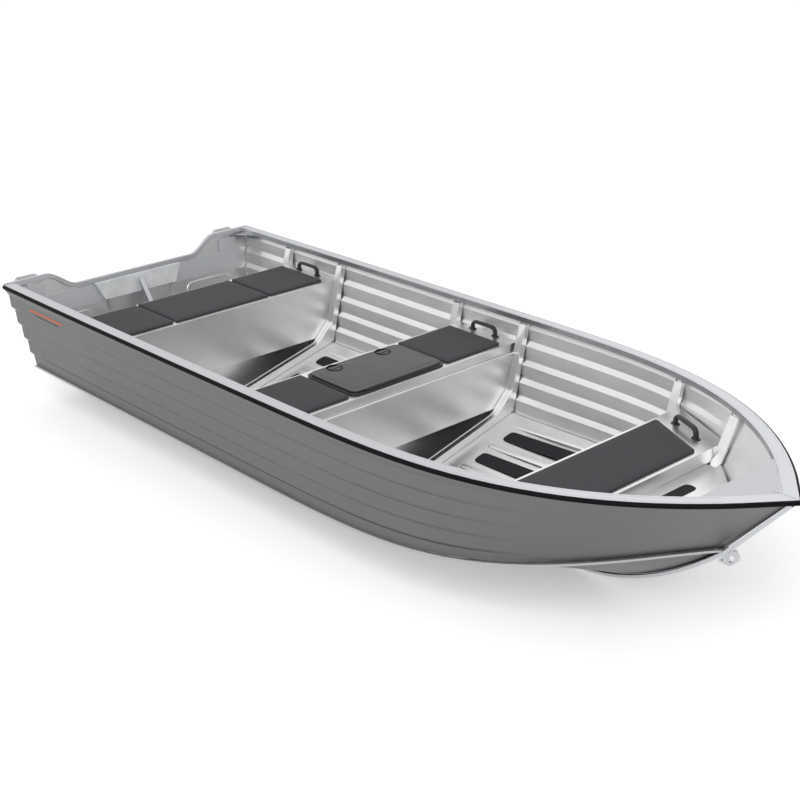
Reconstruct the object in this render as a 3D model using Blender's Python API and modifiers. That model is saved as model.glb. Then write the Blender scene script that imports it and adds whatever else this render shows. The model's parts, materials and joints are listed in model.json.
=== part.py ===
"""Open dinghy of pressed aluminum sheet, with three benches and an outboard transom.

Everything is drawn in hull coordinates: x runs forward from the top of the transom,
y to port, z up from the keel line. One empty moves the whole boat so that the world
origin lies on the design waterline, amidships on the centreline.
"""
import math

import bmesh
import bpy
from mathutils import Vector

# Hull lines
LENGTH = 4.40            # transom top to bow tip, along the gunwale
HALF_BEAM = 0.843        # centreline to the gunwale's outer edge, amidships
TRANSOM_HALF_BEAM = 0.830
WIDEST_AT = 2.33         # distance of the widest section from the transom
GUNWALE_STERN = 0.600    # heights above the base line
GUNWALE_BOW = 0.645
GUNWALE_FULLNESS = 3.3   # powers of the bow curve: higher is fuller
GUNWALE_POINT = 1.08     # 1 is a straight point, 2 a round one
CHINE_HALF_BEAM = 0.728
CHINE_STERN_HALF_BEAM = 0.722
CHINE_FULLNESS = 4.0
CHINE_POINT = 0.70
CHINE_HEIGHT = 0.130
CHINE_RISE_FROM = 2.18   # where the chine leaves its level run
CHINE_RISE_POWER = 2.2
SHEER_POWER = 1.2
EYE_HEIGHT = 0.315       # where chine, keel and stem meet
STEM_ANGLE = 49.0        # degrees above level
FOREFOOT_FROM = 3.31     # where the keel line starts to rise
KEEL_HEIGHT = -0.050     # the keel's level run, from the base line
DRAFT = 0.12
TRANSOM_RAKE = 10.0      # degrees
STEM_HALF_WIDTH = 0.010
BOTTOM_SHARES = (-1.0, -0.75, -0.5, -0.25, 0.0, 0.25, 0.5, 0.75, 1.0)

# Sheet and fits
SHEET = 0.003
GAP = 0.0003             # between pieces that touch
SEAT = 0.0009            # between the side's jogs and what is scribed to them
SCRIBE = 0.002           # between the side and the edge of a deck or band
STEEPEST_SHARE = 0.2           # least outboard share of the side's level normal

# Lapped side: jogs where the sheet steps outboard, as shares of the side's height
JOG_CENTRE_SHARES = (0.90, 0.72, 0.52, 0.33, 0.14)
JOG_BAND_SHARE = 0.050
JOG_DEPTH = 0.014
JOG_FADE_SHARE_FROM = 0.74     # share of the length where the jogs start to fade
JOG_FADE_SHARE_TO = 0.90

# Gunwale extrusion and rub strake
FLAT_WIDTH = 0.058
GUNWALE_LIP = 0.026
GUNWALE_LEG = 0.024
FLARE_RISE = 1.3         # room for the flared side's inner edge, in sheets
STRAKE_WIDTH = 0.014
STRAKE_HEIGHT = 0.020
STRAKE_BELOW = 0.002     # the gunwale's top
STRAKE_BACK = 0.003      # flat part behind its round face
STRAKE_STEPS = 4
MITRE_SHARE_FROM = 0.975       # s where the bow mitre takes over
MITRE_SHARE_AT = 0.985

# Chine and keel extrusions
CHINE_LIP = 0.016        # outboard of the chine line
CHINE_BAND = 0.022       # inboard of it
CHINE_THICK = 0.010
KEEL_WIDTH = 0.036
KEEL_DEPTH = 0.016
KEEL_TAPER = 0.6

# Transom
TRANSOM_SHEET = 0.004
DIP_DEPTH = 0.086        # outboard motor dip below the ears
DIP_INSET = 0.445        # the dip's level edge from the transom's edge
EAR_WIDTH = 0.265        # level part of the ear
DIP_STEPS = 8
MOULD_WIDTH = 0.020
MOULD_DEPTH = 0.022
MOULD_SHORT = 0.012      # of the transom's edge
BAND_INSET = 0.085       # the band's end from the transom's edge
BAND_HEIGHT = 0.108
BAND_THICK = 0.006
TAB_INSETS = (0.238, 0.115)     # raised ends below the ears
TAB_RISE = 0.072
TAB_SLANT = 0.002        # side slope of the tabs
TAB_PROUD = 0.0015       # of the band
BAND_BELOW_DIP = 0.026
PAD_HALF_WIDTH = 0.29
PAD_HEIGHT = 0.100
PAD_THICK = 0.020
PAD_TAPER = 0.050
KNEE_REACH = 0.40
KNEE_TOE = 0.06
KNEE_HEAD_SHARE = 0.8          # share of the motor pad's height
KNEE_FLAT = 0.010        # level part at its head
GUSSET_ARM = 0.12
GUSSET_THICK = 0.004
GUSSET_TOE = 0.030       # its width at the fore end
CARRY_WIDTH = 0.14
CARRY_REACH = 0.050
CARRY_RADIUS = 0.010
CARRY_LEAN = 52.0          # degrees above level
CARRY_DROP = 0.008         # its feet below the moulding
CARRY_FOOT = 0.024         # straight part at each foot
CARRY_OUTER = 0.095        # from the gunwale's outer edge

# Frames
FRAME_CHAMFER = 0.014
FRAME_WIDTH = 0.045      # fore and aft
FRAME_DEPTH = 0.036      # off the skin
FRAME_CORNER = 0.11      # leg of the corner gusset
FRAME_STEP = 0.003       # slope from the chine down to the bottom

# Benches: aft edge, fore edge
BENCH_TOP = 0.478
STERN_BENCH = (0.465, 0.875)
MIDDLE_BENCH = (1.852, 2.262)
BOW_BENCH = (3.340, 3.708)
PANEL_FOOT = 0.030       # foot of the bench panels above the chine
MIDDLE_LIP = 0.045
BOW_LIP = 0.065
LEDGE = 0.012
LEDGE_FLANGE = 0.018     # turned in under the middle bench
SEAT_PAD = 0.012         # thickness
PAD_EDGE = 0.022
PAD_GAP = 0.010
PAD_CORNER = 0.030
PAD_BUTT_CORNER = 0.006  # where pads meet
PAD_INSET = (0.095, 0.100, 0.192)       # stern, middle and bow pad from the side
HANDLE_INSET = (0.062, 0.046, 0.150)    # and the grab handles
STERN_PAD_HALF = 0.307
HANDLE_LENGTH = 0.16
HANDLE_RISE = 0.045
HANDLE_RADIUS = 0.010
ARCH_CORNER_SHARE = 0.16       # share of a handle's length in each corner
ARCH_LEG_SHARE = 0.45          # share of its rise below the corners

# Hatch in the middle bench
HATCH_FORWARD = 0.0115      # of the bench's middle
HATCH_HALF_WIDTH = 0.272
HATCH_DEPTH = 0.300
HATCH_FRAME_WIDTH = 0.030
HATCH_FRAME_HEIGHT = 0.010
LID_THICK = 0.010
LID_CLEAR = 0.0005
LID_OVERLAP = 0.018
HATCH_CORNER = 0.035
LATCH_RADIUS = 0.041
LATCH_HEIGHT = 0.004
LATCH_INSET = 0.025         # its centre from the opening's aft edge
LATCH_SPREAD = 0.157
HINGE_OFFSET = 0.004
HINGE_RADIUS = 0.003
HINGE_HALF_LENGTH = 0.22

# Bow
BREASTHOOK_LENGTH = 0.21
BREASTHOOK_DROP = 0.001
BREASTHOOK_THICK = 0.004
BREASTHOOK_TIP = 0.006   # least half width at its tip
DECK_TAPER = 0.12        # how much further the deck narrows than the hull
DECK_SHOULDER = 0.012    # between the deck and the last frame
DECK_SHORT = 0.030       # of the eye
DECK_SHARES = (0.35, 0.7, 1.0)
EYE_THICK = 0.018
EYE_FOOT = (-0.063, 0.045)     # its two ends along the keel bar, from where keel and stem meet
EYE_NOSE = (-0.020, 0.036)     # the same, at its outer edge
EYE_DEPTH = 0.047        # out from the keel bar
EYE_ROUND = 0.016        # corner radius
EYE_HOLE_SIDES = 16
EYE_HOLES = ((0.004, 0.024, 0.020, 0.013),   # along, out and the oval's two radii
             (-0.037, 0.009, 0.0045, 0.0045))

# Floor
STRIP_WIDTH = 0.080
STRIP_THICK = 0.002
STRIP_CORNER = 0.028
STRIP_INSETS = (0.388, 0.188)   # middle of inner and outer strips from the chine
STRIP_FROM_BENCH = 0.12     # clear floor at the bays' ends
DECK_STRIP_FROM = 0.058     # the bow bench's fore edge
DECK_STRIP_WIDTH = 0.060
DECK_STRIP_HALF = 0.20

STATIONS = 44
BOW_CROWDING = 1.5       # stations closer together towards the bow
SHARP_ANGLE = 25.0       # degrees, above which an edge stays sharp
TUBE_ANGLE = 40.0
PLATE_END_SHARE = 0.9993       # s where the side plates meet the stem
BOAT = "aluminum_boat"

ALLOY = ("alloy", (0.62, 0.63, 0.64), 0.38, 1.0)
ALLOY_BRIGHT = ("alloy_extrusion", (0.72, 0.73, 0.74), 0.30, 1.0)
RUBBER = ("black_rubber", (0.02, 0.02, 0.022), 0.75, 0.0)
FOAM = ("charcoal_pad", (0.07, 0.075, 0.08), 0.90, 0.0)
GRIT = ("anti_slip", (0.02, 0.02, 0.024), 0.95, 0.0)
PLASTIC = ("grey_plastic", (0.10, 0.105, 0.11), 0.45, 0.0)
BLACK = ("black_plastic", (0.02, 0.02, 0.02), 0.40, 0.0)


def clear_scene():
    for obj in list(bpy.data.objects):
        bpy.data.objects.remove(obj, do_unlink=True)


def material(finish):
    """One Principled material of its own for every piece."""
    name, colour, roughness, metallic = finish
    mat = bpy.data.materials.new(name)
    mat.use_nodes = True
    shader = mat.node_tree.nodes["Principled BSDF"]
    shader.inputs["Base Color"].default_value = (*colour, 1.0)
    shader.inputs["Roughness"].default_value = roughness
    shader.inputs["Metallic"].default_value = metallic
    return mat


def smooth(low, high, value):
    share = min(max((value - low) / (high - low), 0.0), 1.0)
    return share * share * (3.0 - 2.0 * share)


# Hull curves, by s: 0 at the transom, 1 at the stem

def rake(height):
    """How far forward of the transom's top the raked transom lies at a height."""
    return (GUNWALE_STERN - height) * math.tan(math.radians(TRANSOM_RAKE))


def eye_x():
    return LENGTH - (GUNWALE_BOW - EYE_HEIGHT) / math.tan(math.radians(STEM_ANGLE))


def bow_curve(x, start, end, fullness, point):
    reach = min(max((x - start) / (end - start), 0.0), 1.0)
    return (1.0 - reach ** fullness) ** (1.0 / point)


def gunwale_x(s):
    return LENGTH * s


def gunwale_half(s):
    x = gunwale_x(s)
    if x < WIDEST_AT:
        return HALF_BEAM - (HALF_BEAM - TRANSOM_HALF_BEAM) * (1.0 - x / WIDEST_AT) ** 2
    return HALF_BEAM * bow_curve(x, WIDEST_AT, LENGTH, GUNWALE_FULLNESS, GUNWALE_POINT)


def gunwale_z(s):
    return GUNWALE_STERN + (GUNWALE_BOW - GUNWALE_STERN) * s ** SHEER_POWER


def chine_x(s):
    aft = rake(CHINE_HEIGHT)
    return aft + (eye_x() - aft) * s


def chine_half(s):
    x = chine_x(s)
    wide = WIDEST_AT
    if x < wide:
        share = (1.0 - x / wide) ** 2
        half = CHINE_HALF_BEAM - (CHINE_HALF_BEAM - CHINE_STERN_HALF_BEAM) * share
    else:
        half = CHINE_HALF_BEAM * bow_curve(x, wide, eye_x(), CHINE_FULLNESS, CHINE_POINT)
    return max(half, STEM_HALF_WIDTH)


def chine_z(s):
    reach = min(max((chine_x(s) - CHINE_RISE_FROM) / (eye_x() - CHINE_RISE_FROM), 0.0), 1.0)
    return CHINE_HEIGHT + (EYE_HEIGHT - CHINE_HEIGHT) * reach ** CHINE_RISE_POWER


def keel_z(x):
    """Level keel, then a parabola up to the eye, then the straight stem."""
    if x > eye_x():
        return EYE_HEIGHT + (x - eye_x()) * math.tan(math.radians(STEM_ANGLE))
    reach = max((x - FOREFOOT_FROM) / (eye_x() - FOREFOOT_FROM), 0.0)
    return KEEL_HEIGHT + (EYE_HEIGHT - KEEL_HEIGHT) * reach ** 2


def s_of(x, v):
    """The s whose section line passes x at the share v of the side's height."""
    aft = rake(CHINE_HEIGHT) * (1.0 - v)
    return (x - aft) / ((eye_x() - rake(CHINE_HEIGHT)) * (1.0 - v) + LENGTH * v)


def outboard(curve_x, curve_half, s):
    """Level unit vector square to a port-side curve, pointing outboard."""
    step = 0.003
    low = max(s - step, 0.0)
    high = min(s + step, 1.0)
    run = curve_x(high) - curve_x(low)
    rise = curve_half(high) - curve_half(low)
    size = math.hypot(run, rise)
    return Vector((-rise / size, run / size, 0.0))


def jog_offset(v):
    """Sawtooth of the lapped side: outboard above a jog, inboard below it."""
    knots = [(1.0, 0.0)]
    for centre in JOG_CENTRE_SHARES:
        above = JOG_DEPTH / 2.0 if len(knots) > 1 else 0.0
        knots.append((centre + JOG_BAND_SHARE / 2.0, above))
        knots.append((centre - JOG_BAND_SHARE / 2.0, -JOG_DEPTH / 2.0))
    knots.append((0.0, 0.0))
    for (v_top, top), (v_low, low) in zip(knots, knots[1:]):
        if v >= v_low:
            return low + (top - low) * (v - v_low) / (v_top - v_low)
    return 0.0


def side_ends(s):
    """Foot and head of the port side's section line."""
    low = Vector((chine_x(s), chine_half(s), chine_z(s) + CHINE_THICK / 2.0 + GAP))
    high = Vector((gunwale_x(s), gunwale_half(s), gunwale_z(s) - SHEET * (1.0 + FLARE_RISE) - GAP))
    high -= outboard(gunwale_x, gunwale_half, s) * (SHEET + 2.0 * GAP)
    high.y = max(high.y, STEM_HALF_WIDTH)
    return low, high


def side_point(s, v):
    """Point of the port side's outer skin."""
    fade = 1.0 - smooth(JOG_FADE_SHARE_FROM, JOG_FADE_SHARE_TO, s)
    low, high = side_ends(s)
    out = outboard(chine_x, chine_half, s).lerp(outboard(gunwale_x, gunwale_half, s), v)
    return low.lerp(high, v) + out.normalized() * (jog_offset(v) * fade)


def side_limit(x, z):
    """Half breadth inside the hull that is free of the side's jogs."""
    s = x / LENGTH
    for _ in range(20):
        s = min(max(s, 0.0), 1.0)
        low, high = side_ends(s)
        v = min(max((z - low.z) / (high.z - low.z), 0.0), 1.0)
        s += (x - low.lerp(high, v).x) / LENGTH
    out = outboard(chine_x, chine_half, s).lerp(outboard(gunwale_x, gunwale_half, s), v)
    inset = SHEET + JOG_DEPTH / 2.0 + SEAT
    return low.lerp(high, v).y - inset / max(out.normalized().y, STEEPEST_SHARE)


def bottom_z(x, y):
    """Height of the bottom's outer skin."""
    s = min(max((x - rake(CHINE_HEIGHT)) / (eye_x() - rake(CHINE_HEIGHT)), 0.0), 1.0)
    share = min(abs(y) / chine_half(s), 1.0)
    return keel_z(x) + (chine_z(s) - keel_z(x)) * share


# Makers

def finish_object(name, mesh, finish, smooth_angle=None):
    mesh.materials.append(material(finish))
    if smooth_angle is not None:
        mesh.shade_smooth()
        mesh.set_sharp_from_angle(angle=math.radians(smooth_angle))
    obj = bpy.data.objects.new(name, mesh)
    bpy.data.collections[BOAT].objects.link(obj)
    obj.parent = bpy.data.objects[BOAT + "_origin"]
    return obj


def mesh_from_bmesh(name, bm):
    bmesh.ops.recalc_face_normals(bm, faces=bm.faces)
    mesh = bpy.data.meshes.new(name)
    bm.to_mesh(mesh)
    bm.free()
    return mesh


def skin(name, rows, finish, thickness):
    """Open surface through rows of points, thickened to its back by Solidify."""
    bm = bmesh.new()
    grid = [[bm.verts.new(point) for point in row] for row in rows]
    for row, following in zip(grid, grid[1:]):
        for index in range(len(row) - 1):
            bm.faces.new((row[index], row[index + 1], following[index + 1], following[index]))
    mesh = bpy.data.meshes.new(name)
    bm.to_mesh(mesh)
    bm.free()
    obj = finish_object(name, mesh, finish, SHARP_ANGLE)
    wall = obj.modifiers.new("wall", "SOLIDIFY")
    wall.thickness = thickness
    wall.offset = -1.0
    wall.use_even_offset = True
    return obj


def loft(name, rings, finish, smooth_angle=SHARP_ANGLE):
    """Closed solid through rings of equal length, with flat ends."""
    bm = bmesh.new()
    loops = [[bm.verts.new(point) for point in ring] for ring in rings]
    count = len(loops[0])
    for ring, following in zip(loops, loops[1:]):
        for index in range(count):
            after = (index + 1) % count
            bm.faces.new((ring[index], ring[after], following[after], following[index]))
    bm.faces.new(loops[0])
    bm.faces.new(loops[-1])
    bmesh.ops.triangulate(bm, faces=[f for f in bm.faces if len(f.verts) > 4])
    return finish_object(name, mesh_from_bmesh(name, bm), finish, smooth_angle)


def plate(name, outline, offset, finish):
    """Flat outline extruded by an offset vector."""
    shift = Vector(offset)
    low = [Vector(point) for point in outline]
    high = [point + shift for point in low]
    return loft(name, (low, high), finish, None)


def mirror_points(rings):
    return [[Vector((p[0], -p[1], p[2])) for p in ring] for ring in rings]


def rounded(corners, radius, steps=4):
    """Flat outline with its corners rounded, corners as (x, y)."""
    points = []
    count = len(corners)
    for index, corner in enumerate(corners):
        here = Vector(corner)
        before = (Vector(corners[index - 1]) - here).normalized()
        after = (Vector(corners[(index + 1) % count]) - here).normalized()
        for step in range(steps + 1):
            share = step / steps
            start = here + before * radius
            end = here + after * radius
            points.append(start.lerp(here, share).lerp(here.lerp(end, share), share))
    return points


def both_sides(stem, rings, finish):
    loft(stem + "_port", rings, finish)
    loft(stem + "_starboard", mirror_points(rings), finish)


# Hull skin and extrusions

def station_list():
    """Values of s, closer together towards the bow."""
    return [1.0 - (1.0 - index / STATIONS) ** BOW_CROWDING for index in range(STATIONS + 1)]


def gunwale_stations():
    """The same values, short of the tip, where the mitre takes over."""
    return [s for s in station_list() if s < MITRE_SHARE_FROM] + [MITRE_SHARE_AT]


def side_heights():
    """Shares of height where the side's profile bends."""
    heights = [0.0]
    for centre in reversed(JOG_CENTRE_SHARES):
        heights.append(centre - JOG_BAND_SHARE / 2.0)
        heights.append(centre + JOG_BAND_SHARE / 2.0)
    return heights + [1.0]


def side_plates():
    values = station_list()[:-1] + [PLATE_END_SHARE]
    rows = [[side_point(s, v) for v in side_heights()] for s in values]
    rows[0] = [Vector((rake(p.z) + SEAT, p.y, p.z)) for p in rows[0]]
    skin("side_plate_port", rows, ALLOY, SHEET)
    skin("side_plate_starboard", mirror_points([row[::-1] for row in rows]), ALLOY, SHEET)


def chine_inner(s, inset):
    """Point inboard of the chine line, square to it."""
    base = Vector((chine_x(s), chine_half(s), chine_z(s)))
    return base - outboard(chine_x, chine_half, s) * inset


def chine_inner_at(x):
    """Where the chine extrusion's inner edge passes x."""
    s = s_of(x, 0.0)
    for _ in range(8):
        s = min(max(s, 0.0), 1.0)
        point = chine_inner(s, CHINE_BAND)
        s += (x - point.x) / (eye_x() - rake(CHINE_HEIGHT))
    return point


def bottom_plate():
    rows = []
    for s in station_list():
        edge = chine_inner(s, CHINE_BAND + GAP)
        edge.y = max(edge.y, KEEL_WIDTH / 2.0)
        row = []
        for share in BOTTOM_SHARES:
            x = chine_x(s) + (edge.x - chine_x(s)) * abs(share)
            y = edge.y * share
            row.append((max(x, rake(bottom_z(x, y)) + GAP), y, bottom_z(x, y)))
        rows.append(row)
    skin("bottom_plate", rows, ALLOY, SHEET)


def sweep_edge(curve_x, curve_half, curve_z, profile, values, start, mitre, least=-math.inf):
    """Rings of a profile (outboard, up) along a port-side curve, mitred at the bow.

    No point comes nearer to the centre line than least."""
    rings = []
    for s in values:
        out = outboard(curve_x, curve_half, s)
        base = Vector((curve_x(s), curve_half(s), curve_z(s)))
        inner = (least - base.y) / out.y
        rings.append([base + out * max(a, inner) + Vector((0.0, 0.0, b)) for a, b in profile])
    if mitre is not None:
        ahead = Vector((rings[-1][0].x - rings[-2][0].x, rings[-1][0].y - rings[-2][0].y, 0.0))
        rings[-1] = [p + ahead * ((mitre - p.y) / ahead.y) for p in rings[-1]]
    for index, point in enumerate(rings[0]):
        rings[0][index] = Vector((rake(point.z) + start, point.y, point.z))
    return rings


def moulding_front():
    """Forward face of the transom's moulding, from the rake plane."""
    return MOULD_WIDTH / 2.0 - TRANSOM_SHEET / 2.0 - GAP


def gunwales():
    wall = SHEET
    profile = ((0.0, 0.0), (0.0, -GUNWALE_LEG), (-wall, -GUNWALE_LEG), (-wall, -wall),
               (-FLAT_WIDTH + wall, -wall), (-FLAT_WIDTH + wall, -GUNWALE_LIP),
               (-FLAT_WIDTH, -GUNWALE_LIP), (-FLAT_WIDTH, 0.0))
    rings = sweep_edge(gunwale_x, gunwale_half, gunwale_z, profile, gunwale_stations(),
                       moulding_front() + GAP, GAP / 2.0)
    both_sides("gunwale", rings, ALLOY_BRIGHT)


def rub_strakes():
    """D-section rubber along the gunwale's outer leg."""
    top = -STRAKE_BELOW
    profile = [(GAP, top), (GAP, top - STRAKE_HEIGHT)]
    for step in range(STRAKE_STEPS + 1):
        angle = math.pi * (step / STRAKE_STEPS - 0.5)
        reach = STRAKE_BACK + (STRAKE_WIDTH - STRAKE_BACK) * math.cos(angle)
        profile.append((GAP + reach, top - STRAKE_HEIGHT / 2.0 * (1.0 - math.sin(angle))))
    rings = sweep_edge(gunwale_x, gunwale_half, gunwale_z, profile, gunwale_stations(),
                       moulding_front() + GAP, GAP / 2.0)
    both_sides("rub_strake", rings, RUBBER)


def chines():
    half = CHINE_THICK / 2.0
    profile = ((CHINE_LIP, half), (0.0, half), (-SHEET, half), (-CHINE_BAND, half),
               (-CHINE_BAND, -half), (0.0, -half), (CHINE_LIP, -half))
    rings = sweep_edge(chine_x, chine_half, chine_z, profile, station_list(), 0.0, None,
                       KEEL_WIDTH / 2.0 + GAP)
    both_sides("chine", rings, ALLOY_BRIGHT)


def keel_bar():
    """Bar under the keel line and up the stem, to the foot of the gunwale."""
    head = GUNWALE_BOW - GUNWALE_LEG - GAP
    head_x = eye_x() + (head - EYE_HEIGHT) / math.tan(math.radians(STEM_ANGLE))
    places = [max(chine_x(s), rake(KEEL_HEIGHT)) for s in station_list()] + [head_x]
    half = KEEL_WIDTH / 2.0
    out = Vector((0.0, 1.0, 0.0))
    rings = []
    for x in places:
        slope = (keel_z(x + 0.001) - keel_z(x - 0.001)) / 0.002
        down = Vector((slope, 0.0, -1.0)).normalized()
        base = Vector((x, 0.0, keel_z(x))) + down * SEAT
        tip = base + down * KEEL_DEPTH
        rings.append([base + out * half, tip + out * half * KEEL_TAPER,
                      tip - out * half * KEEL_TAPER, base - out * half])
    loft("keel_bar", rings, ALLOY_BRIGHT)


# Transom

def transom_point(y, z, forward=0.0):
    return Vector((rake(z) + forward, y, z))


def transom_top():
    """Top edge from port to starboard: ears at the corners and the motor dip."""
    ear = GUNWALE_STERN
    dip = ear - DIP_DEPTH
    half = []
    for step in range(DIP_STEPS + 1):
        share = step / DIP_STEPS
        y = TRANSOM_HALF_BEAM - EAR_WIDTH - (DIP_INSET - EAR_WIDTH) * share
        half.append((y, ear + (dip - ear) * smooth(0.0, 1.0, share)))
    port = [(TRANSOM_HALF_BEAM - MOULD_SHORT, ear)] + half
    return port + [(-y, z) for y, z in reversed(port)]


def transom_plate():
    outer = [side_point(0.0, v) for v in side_heights()]
    port = [(0.0, KEEL_HEIGHT), (chine_half(0.0) + CHINE_LIP, chine_z(0.0) - CHINE_THICK / 2.0)]
    port += [(p.y, p.z) for p in outer]
    port = [p for p in port if p[1] < GUNWALE_STERN - GUNWALE_LEG]
    port += [(TRANSOM_HALF_BEAM, GUNWALE_STERN - GUNWALE_LEG), (TRANSOM_HALF_BEAM, GUNWALE_STERN)]
    outline = port + transom_top() + [(-y, z) for y, z in reversed(port[1:])]
    low = [transom_point(y, z, -GAP) for y, z in outline]
    plate("transom_plate", low, (-TRANSOM_SHEET, 0.0, 0.0), ALLOY)


def transom_moulding():
    """Inverted channel over the transom's top edge."""
    path = transom_top()
    wall = SHEET
    inner = TRANSOM_SHEET / 2.0 + GAP
    outer = MOULD_WIDTH / 2.0
    centre = -GAP - TRANSOM_SHEET / 2.0
    profile = ((outer, -MOULD_DEPTH), (outer, wall + GAP), (-outer, wall + GAP),
               (-outer, -MOULD_DEPTH), (-inner, -MOULD_DEPTH), (-inner, GAP),
               (inner, GAP), (inner, -MOULD_DEPTH))
    rings = []
    for index, (y, z) in enumerate(path):
        y0, z0 = path[max(index - 1, 0)]
        y1, z1 = path[min(index + 1, len(path) - 1)]
        size = math.hypot(y1 - y0, z1 - z0)
        normal = ((z1 - z0) / size, (y0 - y1) / size)
        ring = []
        for across, up in profile:
            py = y + normal[0] * up
            pz = z + normal[1] * up
            ring.append(transom_point(py, pz, centre + across))
        rings.append(ring)
    loft("transom_moulding", rings, ALLOY_BRIGHT)


def transom_band():
    """Stiffener across the transom, with a raised and prouder tab below each ear."""
    top = GUNWALE_STERN - DIP_DEPTH - BAND_BELOW_DIP
    foot = top - BAND_HEIGHT
    end = TRANSOM_HALF_BEAM - BAND_INSET
    inner, outer = [TRANSOM_HALF_BEAM - inset for inset in TAB_INSETS]
    slant = TAB_SLANT
    port = ((end, 0.0, 0.0), (outer + slant, 0.0, 0.0), (outer, TAB_RISE, TAB_PROUD),
            (inner, TAB_RISE, TAB_PROUD), (inner - slant, 0.0, 0.0))
    rings = []
    for y, rise, proud in port + tuple((-y, rise, proud) for y, rise, proud in reversed(port)):
        rings.append([transom_point(y, foot, proud / 2.0), transom_point(y, top + rise, proud / 2.0),
                      transom_point(y, top + rise, BAND_THICK + proud),
                      transom_point(y, foot, BAND_THICK + proud)])
    loft("transom_band", rings, ALLOY_BRIGHT)


def transom_fittings():
    """Motor pads inside and outside, and the knee below."""
    dip = GUNWALE_STERN - DIP_DEPTH
    head = dip - MOULD_DEPTH - GAP
    foot = head - PAD_HEIGHT
    narrow = PAD_HALF_WIDTH - PAD_TAPER
    outline = [(PAD_HALF_WIDTH, head), (-PAD_HALF_WIDTH, head), (-narrow, foot), (narrow, foot)]
    inside = BAND_THICK + GAP
    outside = -2.0 * GAP - TRANSOM_SHEET
    plate("motor_pad_inner", [transom_point(y, z, inside) for y, z in outline],
          (PAD_THICK, 0.0, 0.0), ALLOY_BRIGHT)
    plate("motor_pad_outer", [transom_point(y, z, outside) for y, z in outline],
          (-BAND_THICK, 0.0, 0.0), ALLOY_BRIGHT)
    transom_knee(foot, inside)


def transom_knee(pad_foot, inside):
    """Bracket from the foot of the motor pad down and forward to the keel."""
    half = SHEET
    head = pad_foot - GAP
    front = inside + PAD_THICK + GAP
    crown = pad_foot + PAD_HEIGHT * KNEE_HEAD_SHARE
    floor = floor_z(KNEE_REACH, 0.0)
    points = [(rake(head) + inside, head), (rake(head) + front, head),
              (rake(crown) + front, crown), (rake(crown) + front + KNEE_FLAT, crown),
              (KNEE_REACH, floor + KNEE_TOE), (KNEE_REACH, floor + SEAT),
              (rake(floor) + inside, floor_z(rake(floor), 0.0) + SEAT)]
    plate("transom_knee", [(x, -half, z) for x, z in points], (0.0, 2.0 * half, 0.0), ALLOY)


def corner_gussets():
    """Triangular plates under the gunwale in the transom's corners."""
    top = GUNWALE_STERN - GUNWALE_LIP - GAP
    z = top - GUSSET_THICK
    x0 = rake(z) + GAP
    half = side_limit(x0 + GUSSET_ARM / 12.0, z)
    arm = GUSSET_ARM
    outline = [(x0, half - arm, z), (x0, half, z), (x0 + arm, side_limit(x0 + arm, z), z),
               (x0 + arm, side_limit(x0 + arm, z) - GUSSET_TOE, z)]
    rings = (outline, [(x, y, top) for x, y, _ in outline])
    both_sides("corner_gusset", rings, ALLOY_BRIGHT)


def tube(name, points, radius, finish):
    """Bent round bar through points, welded at its caps."""
    curve = bpy.data.curves.new(name, "CURVE")
    curve.dimensions = "3D"
    curve.bevel_depth = radius
    curve.bevel_resolution = 2
    curve.use_fill_caps = True
    spline = curve.splines.new("POLY")
    spline.points.add(len(points) - 1)
    for place, point in zip(spline.points, points):
        place.co = (*point, 1.0)
    rough = bpy.data.objects.new(name + "_curve", curve)
    bpy.context.scene.collection.objects.link(rough)
    bpy.context.view_layer.update()
    graph = bpy.context.evaluated_depsgraph_get()
    mesh = bpy.data.meshes.new_from_object(rough.evaluated_get(graph))
    bpy.data.objects.remove(rough, do_unlink=True)
    bm = bmesh.new()
    bm.from_mesh(mesh)
    bmesh.ops.remove_doubles(bm, verts=bm.verts, dist=0.00001)
    bm.to_mesh(mesh)
    bm.free()
    mesh.materials.clear()
    return finish_object(name, mesh, finish, TUBE_ANGLE)


def arch(start, end, rise, up, steps=3):
    """Points of a grab handle from foot to foot."""
    start = Vector(start)
    end = Vector(end)
    up = Vector(up) * rise
    along = (end - start) * ARCH_CORNER_SHARE
    points = [start]
    for step in range(steps + 1):
        turn = math.pi / 2.0 * step / steps
        height = ARCH_LEG_SHARE + (1.0 - ARCH_LEG_SHARE) * math.sin(turn)
        points.append(start + up * height + along * (1.0 - math.cos(turn)))
    for step in range(steps, -1, -1):
        turn = math.pi / 2.0 * step / steps
        height = ARCH_LEG_SHARE + (1.0 - ARCH_LEG_SHARE) * math.sin(turn)
        points.append(end + up * height - along * (1.0 - math.cos(turn)))
    return points + [end]


def carry_handles():
    """Grips behind the ears, for lifting the stern."""
    y_inner = TRANSOM_HALF_BEAM - CARRY_OUTER - CARRY_WIDTH
    z = GUNWALE_STERN - MOULD_DEPTH - CARRY_RADIUS - CARRY_DROP
    back = -TRANSOM_SHEET - 3.0 * GAP
    feet = [transom_point(y, z, back) for y in (y_inner, y_inner + CARRY_WIDTH)]
    slope = math.radians(TRANSOM_RAKE)
    out = Vector((-math.cos(slope), 0.0, -math.sin(slope))) * CARRY_FOOT
    lean = math.radians(CARRY_LEAN)
    up = (-math.cos(lean), 0.0, math.sin(lean))
    points = [feet[0]] + arch(feet[0] + out, feet[1] + out, CARRY_REACH, up) + [feet[1]]
    tube("carry_handle_port", points, CARRY_RADIUS, PLASTIC)
    mirrored = [(p[0], -p[1], p[2]) for p in points]
    tube("carry_handle_starboard", mirrored, CARRY_RADIUS, PLASTIC)


# Frames

def facet_z(x, y):
    """Height of the bottom's outer skin, straight between its stations."""
    places = [chine_x(s) for s in station_list()]
    for low, high in zip(places, places[1:]):
        if x <= high:
            break
    share = (x - low) / (high - low)
    return bottom_z(low, y) * (1.0 - share) + bottom_z(high, y) * share


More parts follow.
